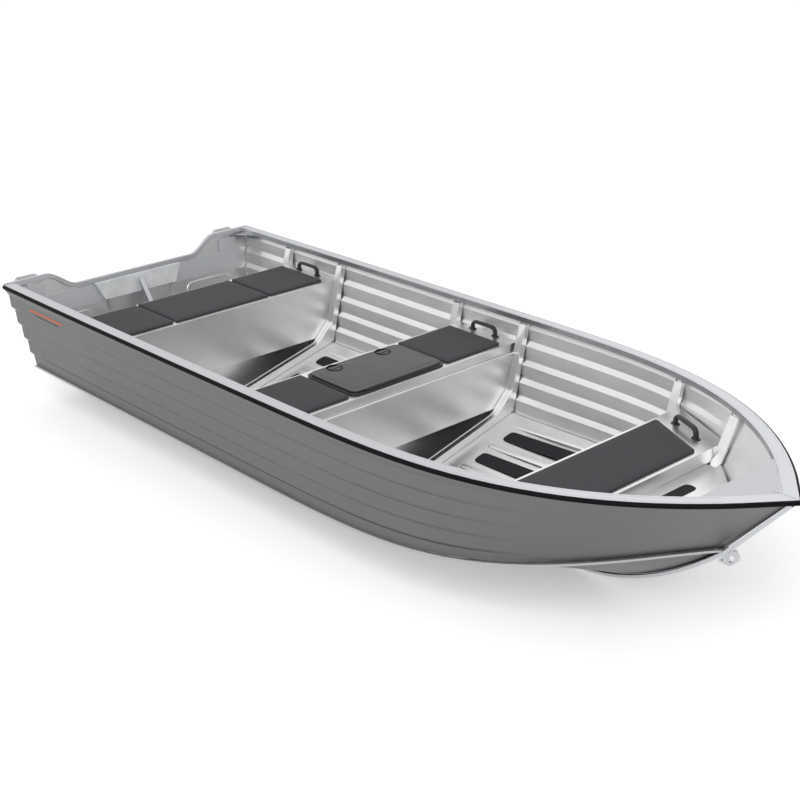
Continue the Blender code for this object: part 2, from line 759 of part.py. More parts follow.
def floor_z(x, y):
    """Height of the bottom's inner face, a seat's clearance included."""
    step = 0.01
    slope_x = (bottom_z(x + step, y) - bottom_z(x - step, y)) / (2.0 * step)
    slope_y = (bottom_z(x, abs(y) + step) - bottom_z(x, abs(y))) / step
    return facet_z(x, y) + SHEET * math.sqrt(1.0 + slope_x ** 2 + slope_y ** 2) + SEAT


def frame_lines(x):
    """Outer and inner line (y, z) of a frame's port half at x, from its head to the keel."""
    head = gunwale_z(s_of(x, 1.0)) - GUNWALE_LIP - GAP
    chine_edge = chine_inner_at(x)
    chine_top = chine_edge.z + CHINE_THICK / 2.0 + SEAT
    knee = chine_top + FRAME_CORNER
    outer = []
    inner = []
    for step in range(4):
        z = head + (knee - head) * step / 3.0
        y = side_limit(x, z)
        outer.append((y, z))
        inner.append((y - FRAME_DEPTH, z - (FRAME_CHAMFER if step == 0 else 0.0)))
    toe = inner[-1][0] - FRAME_CORNER
    band = chine_edge.y - SCRIBE
    outer.append((side_limit(x, chine_top), chine_top))
    outer.append((band, chine_top))
    outer.append((band - FRAME_STEP, floor_z(x, band - FRAME_STEP) + GAP))
    outer.append((toe, floor_z(x, toe) + GAP))
    outer.append((0.0, floor_z(x, 0.0) + GAP))
    foot = (toe, floor_z(x, toe) + FRAME_DEPTH)
    shoulder = inner[-1]
    for share in (0.25, 0.5, 0.75):
        inner.append((shoulder[0] + (foot[0] - shoulder[0]) * share,
                      shoulder[1] + (foot[1] - shoulder[1]) * share))
    inner.append(foot)
    inner.append((0.0, floor_z(x, 0.0) + FRAME_DEPTH))
    return outer, inner


def frame(name, x):
    """Channel open to the skin, from gunwale to gunwale."""
    fore = x + FRAME_WIDTH / 2.0
    aft = x - FRAME_WIDTH / 2.0
    outer_fore, _ = frame_lines(fore)
    outer_aft, _ = frame_lines(aft)
    tight = [(min(f[0], a[0]), max(f[1], a[1])) for f, a in zip(outer_fore, outer_aft)]
    _, inner = frame_lines(x)
    rings = []
    for index, (out, ins) in enumerate(zip(tight, inner)):
        o = Vector((0.0, *out))
        i = Vector((0.0, *ins))
        web = i + (o - i).normalized() * SHEET
        if index == 0:
            o.z = tight[0][1]
        ring = []
        for px, point in ((fore, o), (fore, i), (aft, i), (aft, o), (aft + SHEET, o),
                          (aft + SHEET, web), (fore - SHEET, web), (fore - SHEET, o)):
            ring.append(Vector((px, point.y, point.z)))
        rings.append(ring)
    starboard = [[Vector((p.x, -p.y, p.z)) for p in ring] for ring in reversed(rings[:-1])]
    loft(name, rings + starboard, ALLOY_BRIGHT)


def frames():
    reach = FRAME_WIDTH / 2.0 + GAP
    places = (STERN_BENCH[0] - reach, STERN_BENCH[1] + reach,
              MIDDLE_BENCH[0] - reach, MIDDLE_BENCH[1] + LEDGE + reach,
              BOW_BENCH[0] - reach, BOW_BENCH[1] + reach)
    for index, x in enumerate(places):
        frame("frame_%d" % (index + 1), x)


# Benches

def bent_sheet(name, line, finish):
    """Sheet bent along a line (x, z), running across the boat from side to side."""
    port = [(x, side_limit(x, z), z) for x, z in line]
    starboard = [(x, -y, z) for x, y, z in port]
    return skin(name, (starboard, port), finish, SHEET)


def panel_foot(x):
    return chine_z(s_of(x, 0.0)) + PANEL_FOOT


def benches():
    """Boxes open below, of sheet bent down at their aft and fore edges."""
    bench_sheet("stern_bench", STERN_BENCH, panel_foot(STERN_BENCH[1]))
    lip = BENCH_TOP - MIDDLE_LIP
    tray = bench_sheet("middle_bench", MIDDLE_BENCH, lip)
    hatch_hole(tray)
    under = lip - GAP
    edge = MIDDLE_BENCH[1] + LEDGE
    line = ((MIDDLE_BENCH[1] - LEDGE_FLANGE, under), (edge, under), (edge, panel_foot(edge)))
    bent_sheet("middle_bench_front", line, ALLOY)
    bench_sheet("bow_bench", BOW_BENCH, BENCH_TOP - BOW_LIP)


def bench_sheet(name, bench, front_foot):
    aft, fore = bench
    line = ((aft, panel_foot(aft)), (aft, BENCH_TOP), (fore, BENCH_TOP), (fore, front_foot))
    return bent_sheet(name, line, ALLOY)


def pad(name, corners, level, thickness, finish, corner=PAD_CORNER):
    outline = [(p.x, p.y, level) for p in rounded(corners, corner)]
    return plate(name, outline, (0.0, 0.0, thickness), finish)


def side_pad(stem, bench, inner, inset):
    """Pair of seat pads from an inner edge to the hull side."""
    aft = bench[0] + PAD_EDGE
    fore = bench[1] - PAD_EDGE
    outer_aft = side_limit(aft, BENCH_TOP) - inset
    outer_fore = side_limit(fore, BENCH_TOP) - inset
    corners = ((aft, inner), (fore, inner), (fore, outer_fore), (aft, outer_aft))
    pad(stem + "_port", corners, BENCH_TOP + GAP, SEAT_PAD, FOAM)
    mirrored = [(x, -y) for x, y in corners]
    pad(stem + "_starboard", mirrored, BENCH_TOP + GAP, SEAT_PAD, FOAM)


def pads():
    centre = STERN_PAD_HALF
    aft = STERN_BENCH[0] + PAD_EDGE
    fore = STERN_BENCH[1] - PAD_EDGE
    corners = ((aft, -centre), (fore, -centre), (fore, centre), (aft, centre))
    pad("stern_pad_centre", corners, BENCH_TOP + GAP, SEAT_PAD, FOAM, PAD_BUTT_CORNER)
    side_pad("stern_pad", STERN_BENCH, centre + PAD_GAP, PAD_INSET[0])
    inner = HATCH_HALF_WIDTH + HATCH_FRAME_WIDTH + PAD_GAP
    side_pad("middle_pad", MIDDLE_BENCH, inner, PAD_INSET[1])
    aft = BOW_BENCH[0] + PAD_EDGE
    fore = BOW_BENCH[1] - PAD_EDGE
    half_aft = side_limit(aft, BENCH_TOP) - PAD_INSET[2]
    half_fore = side_limit(fore, BENCH_TOP) - PAD_INSET[2]
    corners = ((aft, -half_aft), (fore, -half_fore), (fore, half_fore), (aft, half_aft))
    pad("bow_pad", corners, BENCH_TOP + GAP, SEAT_PAD, FOAM)


def grab_handles():
    """Black arches on the bench tops, outboard of the pads."""
    benches = (("stern", STERN_BENCH), ("middle", MIDDLE_BENCH), ("bow", BOW_BENCH))
    for (stem, bench), inset in zip(benches, HANDLE_INSET):
        centre = (bench[0] + bench[1]) / 2.0
        aft = centre - HANDLE_LENGTH / 2.0
        fore = centre + HANDLE_LENGTH / 2.0
        z = BENCH_TOP + GAP
        start = (aft, side_limit(aft, z + HANDLE_RISE) - inset, z)
        end = (fore, side_limit(fore, z + HANDLE_RISE) - inset, z)
        points = arch(start, end, HANDLE_RISE, (0.0, 0.0, 1.0))
        tube(stem + "_handle_port", points, HANDLE_RADIUS, BLACK)
        mirrored = [(p[0], -p[1], p[2]) for p in points]
        tube(stem + "_handle_starboard", mirrored, HANDLE_RADIUS, BLACK)


# Hatch

def hatch_span():
    """Aft and fore edge of the hatch opening."""
    middle = (MIDDLE_BENCH[0] + MIDDLE_BENCH[1]) / 2.0 + HATCH_FORWARD
    return middle - HATCH_DEPTH / 2.0, middle + HATCH_DEPTH / 2.0


def cut(obj, cutter):
    """Boolean difference, applied, with the cutter removed."""
    tool = obj.modifiers.new("cut", "BOOLEAN")
    tool.operation = "DIFFERENCE"
    tool.object = cutter
    tool.solver = "EXACT"
    bpy.context.view_layer.update()
    graph = bpy.context.evaluated_depsgraph_get()
    mesh = bpy.data.meshes.new_from_object(obj.evaluated_get(graph))
    obj.modifiers.clear()
    obj.data = mesh
    bpy.data.objects.remove(cutter, do_unlink=True)


def hatch_hole(tray):
    aft, fore = hatch_span()
    half = HATCH_HALF_WIDTH
    corners = ((aft, -half), (fore, -half), (fore, half), (aft, half))
    cutter = pad("hatch_cutter", corners, BENCH_TOP - 0.02, 0.04, ALLOY, HATCH_CORNER)
    cut(tray, cutter)


def hatch():
    aft, fore = hatch_span()
    half = HATCH_HALF_WIDTH
    rim = HATCH_FRAME_WIDTH
    level = BENCH_TOP + GAP
    outer = ((aft - rim, -half - rim), (fore + rim, -half - rim),
             (fore + rim, half + rim), (aft - rim, half + rim))
    ring = pad("hatch_frame", outer, level, HATCH_FRAME_HEIGHT, BLACK, HATCH_CORNER + rim * 0.5)
    inner = ((aft, -half), (fore, -half), (fore, half), (aft, half))
    cut(ring, pad("frame_cutter", inner, level - 0.01, 0.04, BLACK, HATCH_CORNER))
    seat = level + HATCH_FRAME_HEIGHT + LID_CLEAR
    edge = LID_OVERLAP
    lid = ((aft - edge, -half - edge), (fore + edge, -half - edge),
           (fore + edge, half + edge), (aft - edge, half + edge))
    pad("hatch_lid", lid, seat, LID_THICK, PLASTIC, HATCH_CORNER + edge * 0.5)
    for stem, side in (("port", 1.0), ("starboard", -1.0)):
        disc("hatch_latch_" + stem, (aft + LATCH_INSET, side * LATCH_SPREAD, seat + LID_THICK + GAP),
             LATCH_RADIUS, LATCH_HEIGHT, BLACK)
    hinge(fore + edge, level + HATCH_FRAME_HEIGHT + GAP, seat + LID_THICK / 2.0)


def disc(name, foot, radius, height, finish):
    steps = 24
    ring = [(foot[0] + radius * math.cos(2.0 * math.pi * k / steps),
             foot[1] + radius * math.sin(2.0 * math.pi * k / steps), foot[2]) for k in range(steps)]
    return plate(name, ring, (0.0, 0.0, height), finish)


def hinge(lid_edge, seat, axis_height):
    """Barrel along the lid's fore edge, on its foot on the hatch frame."""
    axis = lid_edge + HINGE_OFFSET
    radius = HINGE_RADIUS
    profile = [(axis + radius, seat)]
    for step in range(9):
        turn = math.pi * step / 8.0
        profile.append((axis + radius * math.cos(turn), axis_height + radius * math.sin(turn)))
    profile.append((axis - radius, seat))
    outline = [(x, -HINGE_HALF_LENGTH, z) for x, z in profile]
    plate("hatch_hinge", outline, (0.0, 2.0 * HINGE_HALF_LENGTH, 0.0), BLACK)


# Bow

def breasthook():
    """Plate between the gunwales at the bow, cut along their inner edges."""
    start = LENGTH - BREASTHOOK_LENGTH - FLAT_WIDTH
    inner = []
    for s in gunwale_stations():
        out = outboard(gunwale_x, gunwale_half, s)
        point = Vector((gunwale_x(s), gunwale_half(s), 0.0)) - out * (FLAT_WIDTH + GAP)
        if point.x > start and point.y > BREASTHOOK_TIP:
            inner.append(point)
    level = gunwale_z(inner[0].x / LENGTH) - BREASTHOOK_DROP
    port = [(p.x, p.y, level) for p in inner]
    outline = port + [(x, -y, z) for x, y, z in reversed(port)]
    plate("breasthook", outline, (0.0, 0.0, -BREASTHOOK_THICK), ALLOY)


def bow_deck():
    aft = BOW_BENCH[1] + GAP
    level = BENCH_TOP - BOW_LIP - SHEET
    clear = FRAME_WIDTH + 3.0 * GAP
    shoulder = side_limit(aft + FRAME_WIDTH, level) - FRAME_DEPTH - DECK_SHOULDER
    port = [(aft, shoulder), (aft + clear, shoulder),
            (aft + clear, side_limit(aft + clear, level) - SCRIBE)]
    end = eye_x() - DECK_SHORT
    for share in DECK_SHARES:
        x = aft + clear + (end - aft - clear) * share
        port.append((x, (side_limit(x, level) - SCRIBE) * (1.0 - DECK_TAPER * share)))
    outline = [(x, y, level) for x, y in port]
    outline += [(x, -y, z) for x, y, z in reversed(outline)]
    plate("bow_deck", outline, (0.0, 0.0, SHEET), ALLOY)
    half = DECK_STRIP_HALF
    start = BOW_BENCH[1] + DECK_STRIP_FROM
    end = start + DECK_STRIP_WIDTH
    strip("bow_strip", ((start, -half), (end, -half), (end, half), (start, half)),
          lambda x, y: level + SHEET)


def bow_eye():
    """Pear-shaped plate under the stem, with a hole for a line and one for a pin."""
    x = eye_x()
    slope = (keel_z(x + 0.001) - keel_z(x - 0.001)) / 0.002
    along = Vector((1.0, 0.0, slope)).normalized()
    out = Vector((slope, 0.0, -1.0)).normalized()
    foot = Vector((x, -EYE_THICK / 2.0, keel_z(x))) + out * (2.0 * SEAT + KEEL_DEPTH)
    corners = ((EYE_FOOT[0], 0.0), (EYE_FOOT[1], 0.0),
               (EYE_NOSE[1], EYE_DEPTH), (EYE_NOSE[0], EYE_DEPTH))
    outline = [foot + along * t + out * n for t, n in rounded(corners, EYE_ROUND)]
    eye = plate("bow_eye", outline, (0.0, EYE_THICK, 0.0), ALLOY_BRIGHT)
    for t, n, half_along, half_out in EYE_HOLES:
        centre = foot + along * t + out * n
        ring = []
        for step in range(EYE_HOLE_SIDES):
            turn = 2.0 * math.pi * step / EYE_HOLE_SIDES
            ring.append(centre + along * half_along * math.cos(turn) + out * half_out * math.sin(turn))
        ring = [point - Vector((0.0, EYE_THICK, 0.0)) for point in ring]
        cut(eye, plate("eye_cutter", ring, (0.0, 3.0 * EYE_THICK, 0.0), ALLOY_BRIGHT))


# Floor

def strip(name, corners, height):
    """Thin anti-slip strip with rounded ends, laid on a surface."""
    points = rounded(corners, STRIP_CORNER, 3)
    low = [(p.x, p.y, height(p.x, p.y)) for p in points]
    high = [(x, y, z + STRIP_THICK) for x, y, z in low]
    loft(name, (low, high), GRIT, None)


def floor_strips():
    """Two strips a side in each bay of the floor."""
    clear = STRIP_FROM_BENCH
    fore_start = MIDDLE_BENCH[1] + LEDGE + FRAME_WIDTH + clear
    bays = (("aft", STERN_BENCH[1] + clear, MIDDLE_BENCH[0] - clear),
            ("fore", fore_start, BOW_BENCH[0] - FRAME_WIDTH - clear))
    for bay, start, end in bays:
        for row, inset in zip(("inner", "outer"), STRIP_INSETS):
            y = CHINE_HALF_BEAM - inset
            for stem, side in (("port", 1.0), ("starboard", -1.0)):
                low = side * (y - STRIP_WIDTH / 2.0)
                high = side * (y + STRIP_WIDTH / 2.0)
                corners = ((start, low), (end, low), (end, high), (start, high))
                strip("strip_%s_%s_%s" % (bay, row, stem), corners, floor_z)


def main():
    clear_scene()
    collection = bpy.data.collections.new(BOAT)
    bpy.context.scene.collection.children.link(collection)
    origin = bpy.data.objects.new(BOAT + "_origin", None)
    origin.location = (-LENGTH / 2.0, 0.0, -KEEL_HEIGHT - DRAFT)
    collection.objects.link(origin)
    side_plates()
    bottom_plate()
    gunwales()
    rub_strakes()
    chines()
    keel_bar()
    transom_plate()
    transom_moulding()
    transom_band()
    transom_fittings()
    corner_gussets()
    carry_handles()
    frames()
    benches()
    pads()
    grab_handles()
    hatch()
    breasthook()
    bow_deck()
    bow_eye()
    floor_strips()


main()
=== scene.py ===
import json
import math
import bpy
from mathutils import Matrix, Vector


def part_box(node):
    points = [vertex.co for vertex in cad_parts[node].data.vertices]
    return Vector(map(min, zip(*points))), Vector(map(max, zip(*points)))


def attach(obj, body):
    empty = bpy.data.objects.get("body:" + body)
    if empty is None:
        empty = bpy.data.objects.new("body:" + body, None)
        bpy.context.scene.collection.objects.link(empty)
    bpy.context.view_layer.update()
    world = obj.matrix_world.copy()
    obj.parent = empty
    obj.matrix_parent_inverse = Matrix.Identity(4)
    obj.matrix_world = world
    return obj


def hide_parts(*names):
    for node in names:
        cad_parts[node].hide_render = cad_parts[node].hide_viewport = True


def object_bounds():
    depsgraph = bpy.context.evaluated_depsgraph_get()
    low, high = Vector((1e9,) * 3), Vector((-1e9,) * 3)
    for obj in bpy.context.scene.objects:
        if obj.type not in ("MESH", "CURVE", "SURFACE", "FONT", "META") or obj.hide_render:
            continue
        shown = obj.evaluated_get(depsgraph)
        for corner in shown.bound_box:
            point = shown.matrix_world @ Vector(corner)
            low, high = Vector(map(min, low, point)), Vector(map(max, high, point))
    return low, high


bl_info = {
    "name": "Open aluminium boat finishes",
    "version": (1, 0, 0),
    "blender": (4, 5, 0),
    "location": "View3D > Sidebar > Boat",
    "description": "Metal, pad, rubber and plastic finishes and fine parts for an open pressed-sheet boat",
    "category": "Object",
}

import bmesh
import bpy
from mathutils import Vector
from mathutils.bvhtree import BVHTree
from mathutils.geometry import convex_hull_2d

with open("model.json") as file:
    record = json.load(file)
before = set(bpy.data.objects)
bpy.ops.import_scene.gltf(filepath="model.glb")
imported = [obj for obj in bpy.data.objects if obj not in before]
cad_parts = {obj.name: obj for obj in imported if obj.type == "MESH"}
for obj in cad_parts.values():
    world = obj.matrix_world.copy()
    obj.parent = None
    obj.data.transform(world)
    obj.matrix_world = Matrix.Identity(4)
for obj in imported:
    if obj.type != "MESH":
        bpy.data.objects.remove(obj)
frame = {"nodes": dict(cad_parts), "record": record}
CAD_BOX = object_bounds()

# Photograph's camera
PHOTO_SIZE = 800
CAMERA_FOCAL = 1479.0
CAMERA_PLACE = (4.7833, -4.4529, 3.0627)

# Rolled edge along the middle bench's front, and how far it stops from the panel's ends
LEDGE_ROLL = 0.005
LEDGE_SHORT = 0.012

# Straight down, and starting places of rays: beside the hull, inside it and over its floor
DOWN = Vector((0.0, 0.0, -1.0))
BESIDE_HULL = 1.2
INSIDE_HULL = 0.45
ABOVE_FLOOR = 0.30
BELOW_SHEER = 0.14

# Plain stripes on the topsides: name, aft end, length, height and width
STRIPES = (("stripe_long", -1.98, 0.330, 0.4390, 0.011), ("stripe_short", -1.93, 0.240, 0.4200, 0.006))
STRIPE_SLANT = 0.8

# Ribs pressed into the floor: rings are (inset, rise)
RIB_WIDTH = 0.038
RIB_RINGS = ((0.0, -0.0012), (0.0, 0.0006), (0.004, 0.0052), (0.008, 0.0060))
RIB_INSIDE = 0.055
RIB_OUTSIDE = 0.050
RIB_PAST = 0.025
RIB_CLEAR = 0.025
RIB_CUT = 0.01

# Transom: its rake, its skin and what is pressed into it
TRANSOM_RAKE = math.radians(10.0)
TRANSOM_SKIN = 0.0043
PRESS_NEAR = 0.32
PRESS_FAR = 0.655
PRESS_FOOT = 0.035
PRESS_BELOW_BAND = 0.022
PRESS_ROUND = 0.045
STAY_INSET = 0.075
STAY_HEIGHT = 0.075
STAY_REACH = 0.026
STAY_THICK = 0.006

# Bars, lines and flanges
CAP_WIDTH = 0.026
CAP_THICK = 0.0035
CAP_GAP = 0.0002
LINE_INSETS = (0.0105, 0.0475)
TIP_LAP = 0.050
FLANGE_INSET = 0.0045
FLANGE_RADIUS = 0.0035

# Weld beads
WELD_RADIUS = 0.0034
WELD_SPACING = 0.0028
WELD_FLATNESS = 0.75
WELD_UNEVENNESS = 0.3
WELD_LIFT = 0.004
WELD_INSET = 0.003
WELD_FROM_PAD = 0.045
TRANSOM_WELD = (0.485, 0.085)
SEAM_START = 0.004
SEAM_LIFT = 0.0006
SAME_PLACE = 0.0005

# Studio: sky colours from horizon to zenith, and lamps (name, place, power, size)
SKY = ((0.0, (0.68, 0.69, 0.70)), (0.40, (0.70, 0.71, 0.72)), (1.0, (0.74, 0.74, 0.74)))
SKY_TILT = (-0.20, 0.0, 1.0)
LAMPS = (("key", (3.0, -5.5, 6.0), 205.0, 6.0), ("fill", (-6.0, -3.0, 4.0), 18.0, 6.0),
         ("back", (-2.0, 6.0, 5.0), 25.0, 5.0))


# Shader building

class Nodes:
    """Short hand for one material's node tree."""

    def __init__(self, name):
        self.material = bpy.data.materials.new(name)
        self.material.use_nodes = True
        self.tree = self.material.node_tree
        self.shader = self.tree.nodes["Principled BSDF"]
        self.place = self.add("ShaderNodeTexCoord").outputs["Object"]

    def add(self, kind, **settings):
        node = self.tree.nodes.new(kind)
        for key, value in settings.items():
            setattr(node, key, value)
        return node

    def link(self, source, target):
        self.tree.links.new(source, target)

    def stretched(self, scale):
        """Object coordinates scaled along each axis."""
        node = self.add("ShaderNodeMapping")
        node.inputs["Scale"].default_value = scale
        self.link(self.place, node.inputs["Vector"])
        return node.outputs["Vector"]

    def noise(self, scale, detail=3.0, roughness=0.5, where=None):
        node = self.add("ShaderNodeTexNoise")
        node.inputs["Scale"].default_value = scale
        node.inputs["Detail"].default_value = detail
        node.inputs["Roughness"].default_value = roughness
        self.link(where or self.place, node.inputs["Vector"])
        return node.outputs["Fac"]

    def cells(self, scale, where=None):
        node = self.add("ShaderNodeTexVoronoi")
        node.inputs["Scale"].default_value = scale
        self.link(where or self.place, node.inputs["Vector"])
        return node.outputs["Distance"]

    def spread(self, value, low, high, start=0.0, end=1.0):
        """Map a value's range to another."""
        node = self.add("ShaderNodeMapRange")
        self.link(value, node.inputs["Value"])
        node.inputs["From Min"].default_value = low
        node.inputs["From Max"].default_value = high
        node.inputs["To Min"].default_value = start
        node.inputs["To Max"].default_value = end
        return node.outputs["Result"]

    def blend(self, share, first, second):
        """Colour between two colours."""
        node = self.add("ShaderNodeMix", data_type="RGBA")
        self.link(share, node.inputs["Factor"])
        for socket, colour in ((node.inputs[6], first), (node.inputs[7], second)):
            socket.default_value = (*colour, 1.0)
        return node.outputs[2]

    def plus(self, first, second, weight=1.0):
        node = self.add("ShaderNodeMath", operation="MULTIPLY_ADD")
        self.link(second, node.inputs[0])
        node.inputs[1].default_value = weight
        self.link(first, node.inputs[2])
        return node.outputs[0]

    def bump(self, height, strength, distance):
        node = self.add("ShaderNodeBump")
        node.inputs["Strength"].default_value = strength
        node.inputs["Distance"].default_value = distance
        self.link(height, node.inputs["Height"])
        self.link(node.outputs["Normal"], self.shader.inputs["Normal"])

    def set(self, **values):
        for key, value in values.items():
            self.shader.inputs[key.replace("_", " ")].default_value = value

    def drive(self, **sockets):
        for key, value in sockets.items():
            self.link(value, self.shader.inputs[key.replace("_", " ")])


def shade(colour, factor):
    return tuple(min(channel * factor, 1.0) for channel in colour)


def sheet_alloy(name, colour, gloss, waviness):
    """Rolled sheet: cloudy sheen, faint rolling lines and slight panel waves."""
    nodes = Nodes(name)
    nodes.set(Metallic=1.0)
    cloud = nodes.noise(5.0, 4.0, 0.6)
    rolling = nodes.noise(60.0, 2.0, 0.5, nodes.stretched((0.25, 4.0, 4.0)))
    mottle = nodes.plus(cloud, rolling, 0.35)
    share = nodes.spread(mottle, 0.45, 0.9)
    nodes.drive(Base_Color=nodes.blend(share, shade(colour, 0.93), colour))
    nodes.drive(Roughness=nodes.spread(mottle, 0.4, 1.0, gloss - 0.05, gloss + 0.06))
    wave = nodes.noise(3.2, 2.0, 0.4)
    grain = nodes.noise(260.0, 3.0, 0.7, nodes.stretched((0.5, 1.0, 1.0)))
    height = nodes.plus(wave, grain, 0.020)
    nodes.bump(height, waviness, 0.02)
    return nodes.material


def extruded_alloy(name, colour, gloss):
    """Extrusion: bright and fairly smooth, with fine die lines along it."""
    nodes = Nodes(name)
    nodes.set(Metallic=1.0)
    scuff = nodes.noise(22.0, 4.0, 0.6)
    lines = nodes.noise(500.0, 1.0, 0.5, nodes.stretched((0.03, 1.0, 1.0)))
    nodes.drive(Base_Color=nodes.blend(nodes.spread(scuff, 0.3, 0.8), shade(colour, 0.95), colour))
    nodes.drive(Roughness=nodes.spread(scuff, 0.3, 0.8, gloss - 0.03, gloss + 0.07))
    nodes.bump(nodes.plus(lines, scuff, 0.5), 0.12, 0.002)
    return nodes.material


def painted_alloy(name, colour, gloss):
    """Matt anodised sheet: part metal, part chalky."""
    nodes = Nodes(name)
    nodes.set(Metallic=0.45)
    cloud = nodes.noise(9.0, 4.0, 0.6)
    nodes.drive(Base_Color=nodes.blend(nodes.spread(cloud, 0.3, 0.8), shade(colour, 0.92), colour))
    nodes.drive(Roughness=nodes.spread(cloud, 0.3, 0.8, gloss - 0.05, gloss + 0.07))
    nodes.bump(nodes.noise(300.0, 3.0, 0.6), 0.08, 0.001)
    return nodes.material


def foam_pad(name, colour):
    """Closed-cell foam with a pebbled skin."""
    nodes = Nodes(name)
    nodes.set(Sheen_Weight=0.1, Sheen_Roughness=0.6, Specular_IOR_Level=0.25)
    pebble = nodes.cells(330.0)
    speck = nodes.noise(260.0, 3.0, 0.7)
    patch = nodes.noise(6.0, 3.0, 0.5)
    share = nodes.spread(nodes.plus(speck, patch, 0.6), 0.5, 1.05)
    nodes.drive(Base_Color=nodes.blend(share, shade(colour, 0.78), shade(colour, 1.22)))
    nodes.drive(Roughness=nodes.spread(patch, 0.3, 0.7, 0.78, 0.9))
    nodes.bump(nodes.plus(speck, pebble, 0.8), 0.35, 0.0012)
    return nodes.material


def grit(name, colour):
    """Anti-slip tape: coarse mineral grains on black."""
    nodes = Nodes(name)
    nodes.set(Specular_IOR_Level=0.45)
    grains = nodes.cells(700.0)
    patch = nodes.noise(14.0, 3.0, 0.5)
    share = nodes.spread(nodes.plus(grains, patch, 0.4), 0.2, 0.7)
    nodes.drive(Base_Color=nodes.blend(share, shade(colour, 0.7), shade(colour, 1.5)))
    nodes.drive(Roughness=nodes.spread(grains, 0.0, 0.6, 0.75, 0.95))
    nodes.bump(grains, 0.6, 0.001)
    return nodes.material


def rubber(name, colour):
    """Extruded rubber with a dull bloom."""
    nodes = Nodes(name)
    nodes.set(Specular_IOR_Level=0.05)
    bloom = nodes.noise(9.0, 4.0, 0.6)
    nodes.drive(Base_Color=nodes.blend(nodes.spread(bloom, 0.35, 0.75), colour, shade(colour, 1.7)))
    nodes.drive(Roughness=nodes.spread(bloom, 0.3, 0.8, 0.45, 0.6))
    nodes.bump(nodes.noise(380.0, 2.0, 0.6), 0.15, 0.0006)
    return nodes.material


def moulded(name, colour, gloss, texture):
    """Moulded plastic with a spark-eroded grain."""
    nodes = Nodes(name)
    cloud = nodes.noise(12.0, 3.0, 0.5)
    share = nodes.spread(cloud, 0.3, 0.7)
    nodes.drive(Base_Color=nodes.blend(share, shade(colour, 0.9), shade(colour, 1.1)))
    nodes.drive(Roughness=nodes.spread(cloud, 0.3, 0.7, gloss - 0.04, gloss + 0.05))
    nodes.bump(nodes.noise(500.0, 2.0, 0.6), texture, 0.0006)
    return nodes.material


# Settings

class BoatMetal(bpy.types.PropertyGroup):
    sheet: bpy.props.FloatVectorProperty(
        name="Sheet", description="Colour of the side plates' inside", subtype="COLOR",
        size=3, min=0.0, max=1.0, default=(0.81, 0.81, 0.812))
    # Topsides: the outside faces of the same sheet, drawn far darker than its inside. This dark tone is
    # painted shade of the hull's outside, not oxidation.
    topside_shade: bpy.props.FloatVectorProperty(
        name="Topsides", description="Colour of the hull's oxidised outside", subtype="COLOR",
        size=3, min=0.0, max=1.0, default=(0.170, 0.171, 0.173))
    floor: bpy.props.FloatVectorProperty(
        name="Floor", description="Colour of the bottom plate's inside", subtype="COLOR",
        size=3, min=0.0, max=1.0, default=(0.87, 0.872, 0.875))
    seat: bpy.props.FloatVectorProperty(
        name="Seats", description="Colour of the benches' and deck's sheet", subtype="COLOR",
        size=3, min=0.0, max=1.0, default=(0.80, 0.80, 0.80))
    extrusion: bpy.props.FloatVectorProperty(
        name="Extrusion", description="Colour of the gunwales, keel and transom bars", subtype="COLOR",
        size=3, min=0.0, max=1.0, default=(0.58, 0.59, 0.61))
    frame: bpy.props.FloatVectorProperty(
        name="Frames", description="Colour of the frames and chines inside the hull", subtype="COLOR",
        size=3, min=0.0, max=1.0, default=(0.78, 0.785, 0.79))
    stripe: bpy.props.FloatVectorProperty(
        name="Stripe", description="Colour of the plain stripe on the topsides", subtype="COLOR",
        size=3, min=0.0, max=1.0, default=(0.85, 0.16, 0.02))
    sheet_gloss: bpy.props.FloatProperty(
        name="Sheet roughness", description="Mean roughness of the sheet", min=0.1, max=0.8, default=0.36)
    extrusion_gloss: bpy.props.FloatProperty(
        name="Extrusion roughness", description="Mean roughness of extrusions", min=0.1, max=0.8,
        default=0.30)
    edge: bpy.props.FloatProperty(
        name="Edge radius", description="Softening of sheet and extrusion edges", unit="LENGTH",
        min=0.0, max=0.005, default=0.0008)


class BoatTrim(bpy.types.PropertyGroup):
    pad: bpy.props.FloatVectorProperty(
        name="Pads", description="Colour of the seat pads", subtype="COLOR",
        size=3, min=0.0, max=1.0, default=(0.034, 0.036, 0.040))
    crown: bpy.props.FloatProperty(
        name="Crown", description="Rise of a pad's middle", unit="LENGTH", default=0.0015)
    swell: bpy.props.FloatProperty(
        name="Swell", description="Furthest a pad's skin may swell", unit="LENGTH", default=0.0012)
    grit: bpy.props.FloatVectorProperty(
        name="Grip strips", description="Colour of the anti-slip strips", subtype="COLOR",
        size=3, min=0.0, max=1.0, default=(0.009, 0.010, 0.012))
    rubber: bpy.props.FloatVectorProperty(
        name="Rub strake", description="Colour of the rubber strake", subtype="COLOR",
        size=3, min=0.0, max=1.0, default=(0.006, 0.006, 0.007))
    hatch: bpy.props.FloatVectorProperty(
        name="Hatch", description="Colour of the hatch lid", subtype="COLOR",
        size=3, min=0.0, max=1.0, default=(0.040, 0.042, 0.046))


class BoatStage(bpy.types.PropertyGroup):
    azimuth: bpy.props.FloatProperty(
        name="Azimuth", description="Camera direction about the vertical", subtype="ANGLE",
        default=math.radians(46.83))
    elevation: bpy.props.FloatProperty(
        name="Elevation", description="Camera height above the horizon", subtype="ANGLE",
        default=math.radians(22.95))
    floor: bpy.props.FloatProperty(
        name="Floor glow", description="Light added to the floor where it is seen",
        min=0.0, max=1.0, default=0.35)


GROUPS = (BoatMetal, BoatTrim, BoatStage)


# Shared steps

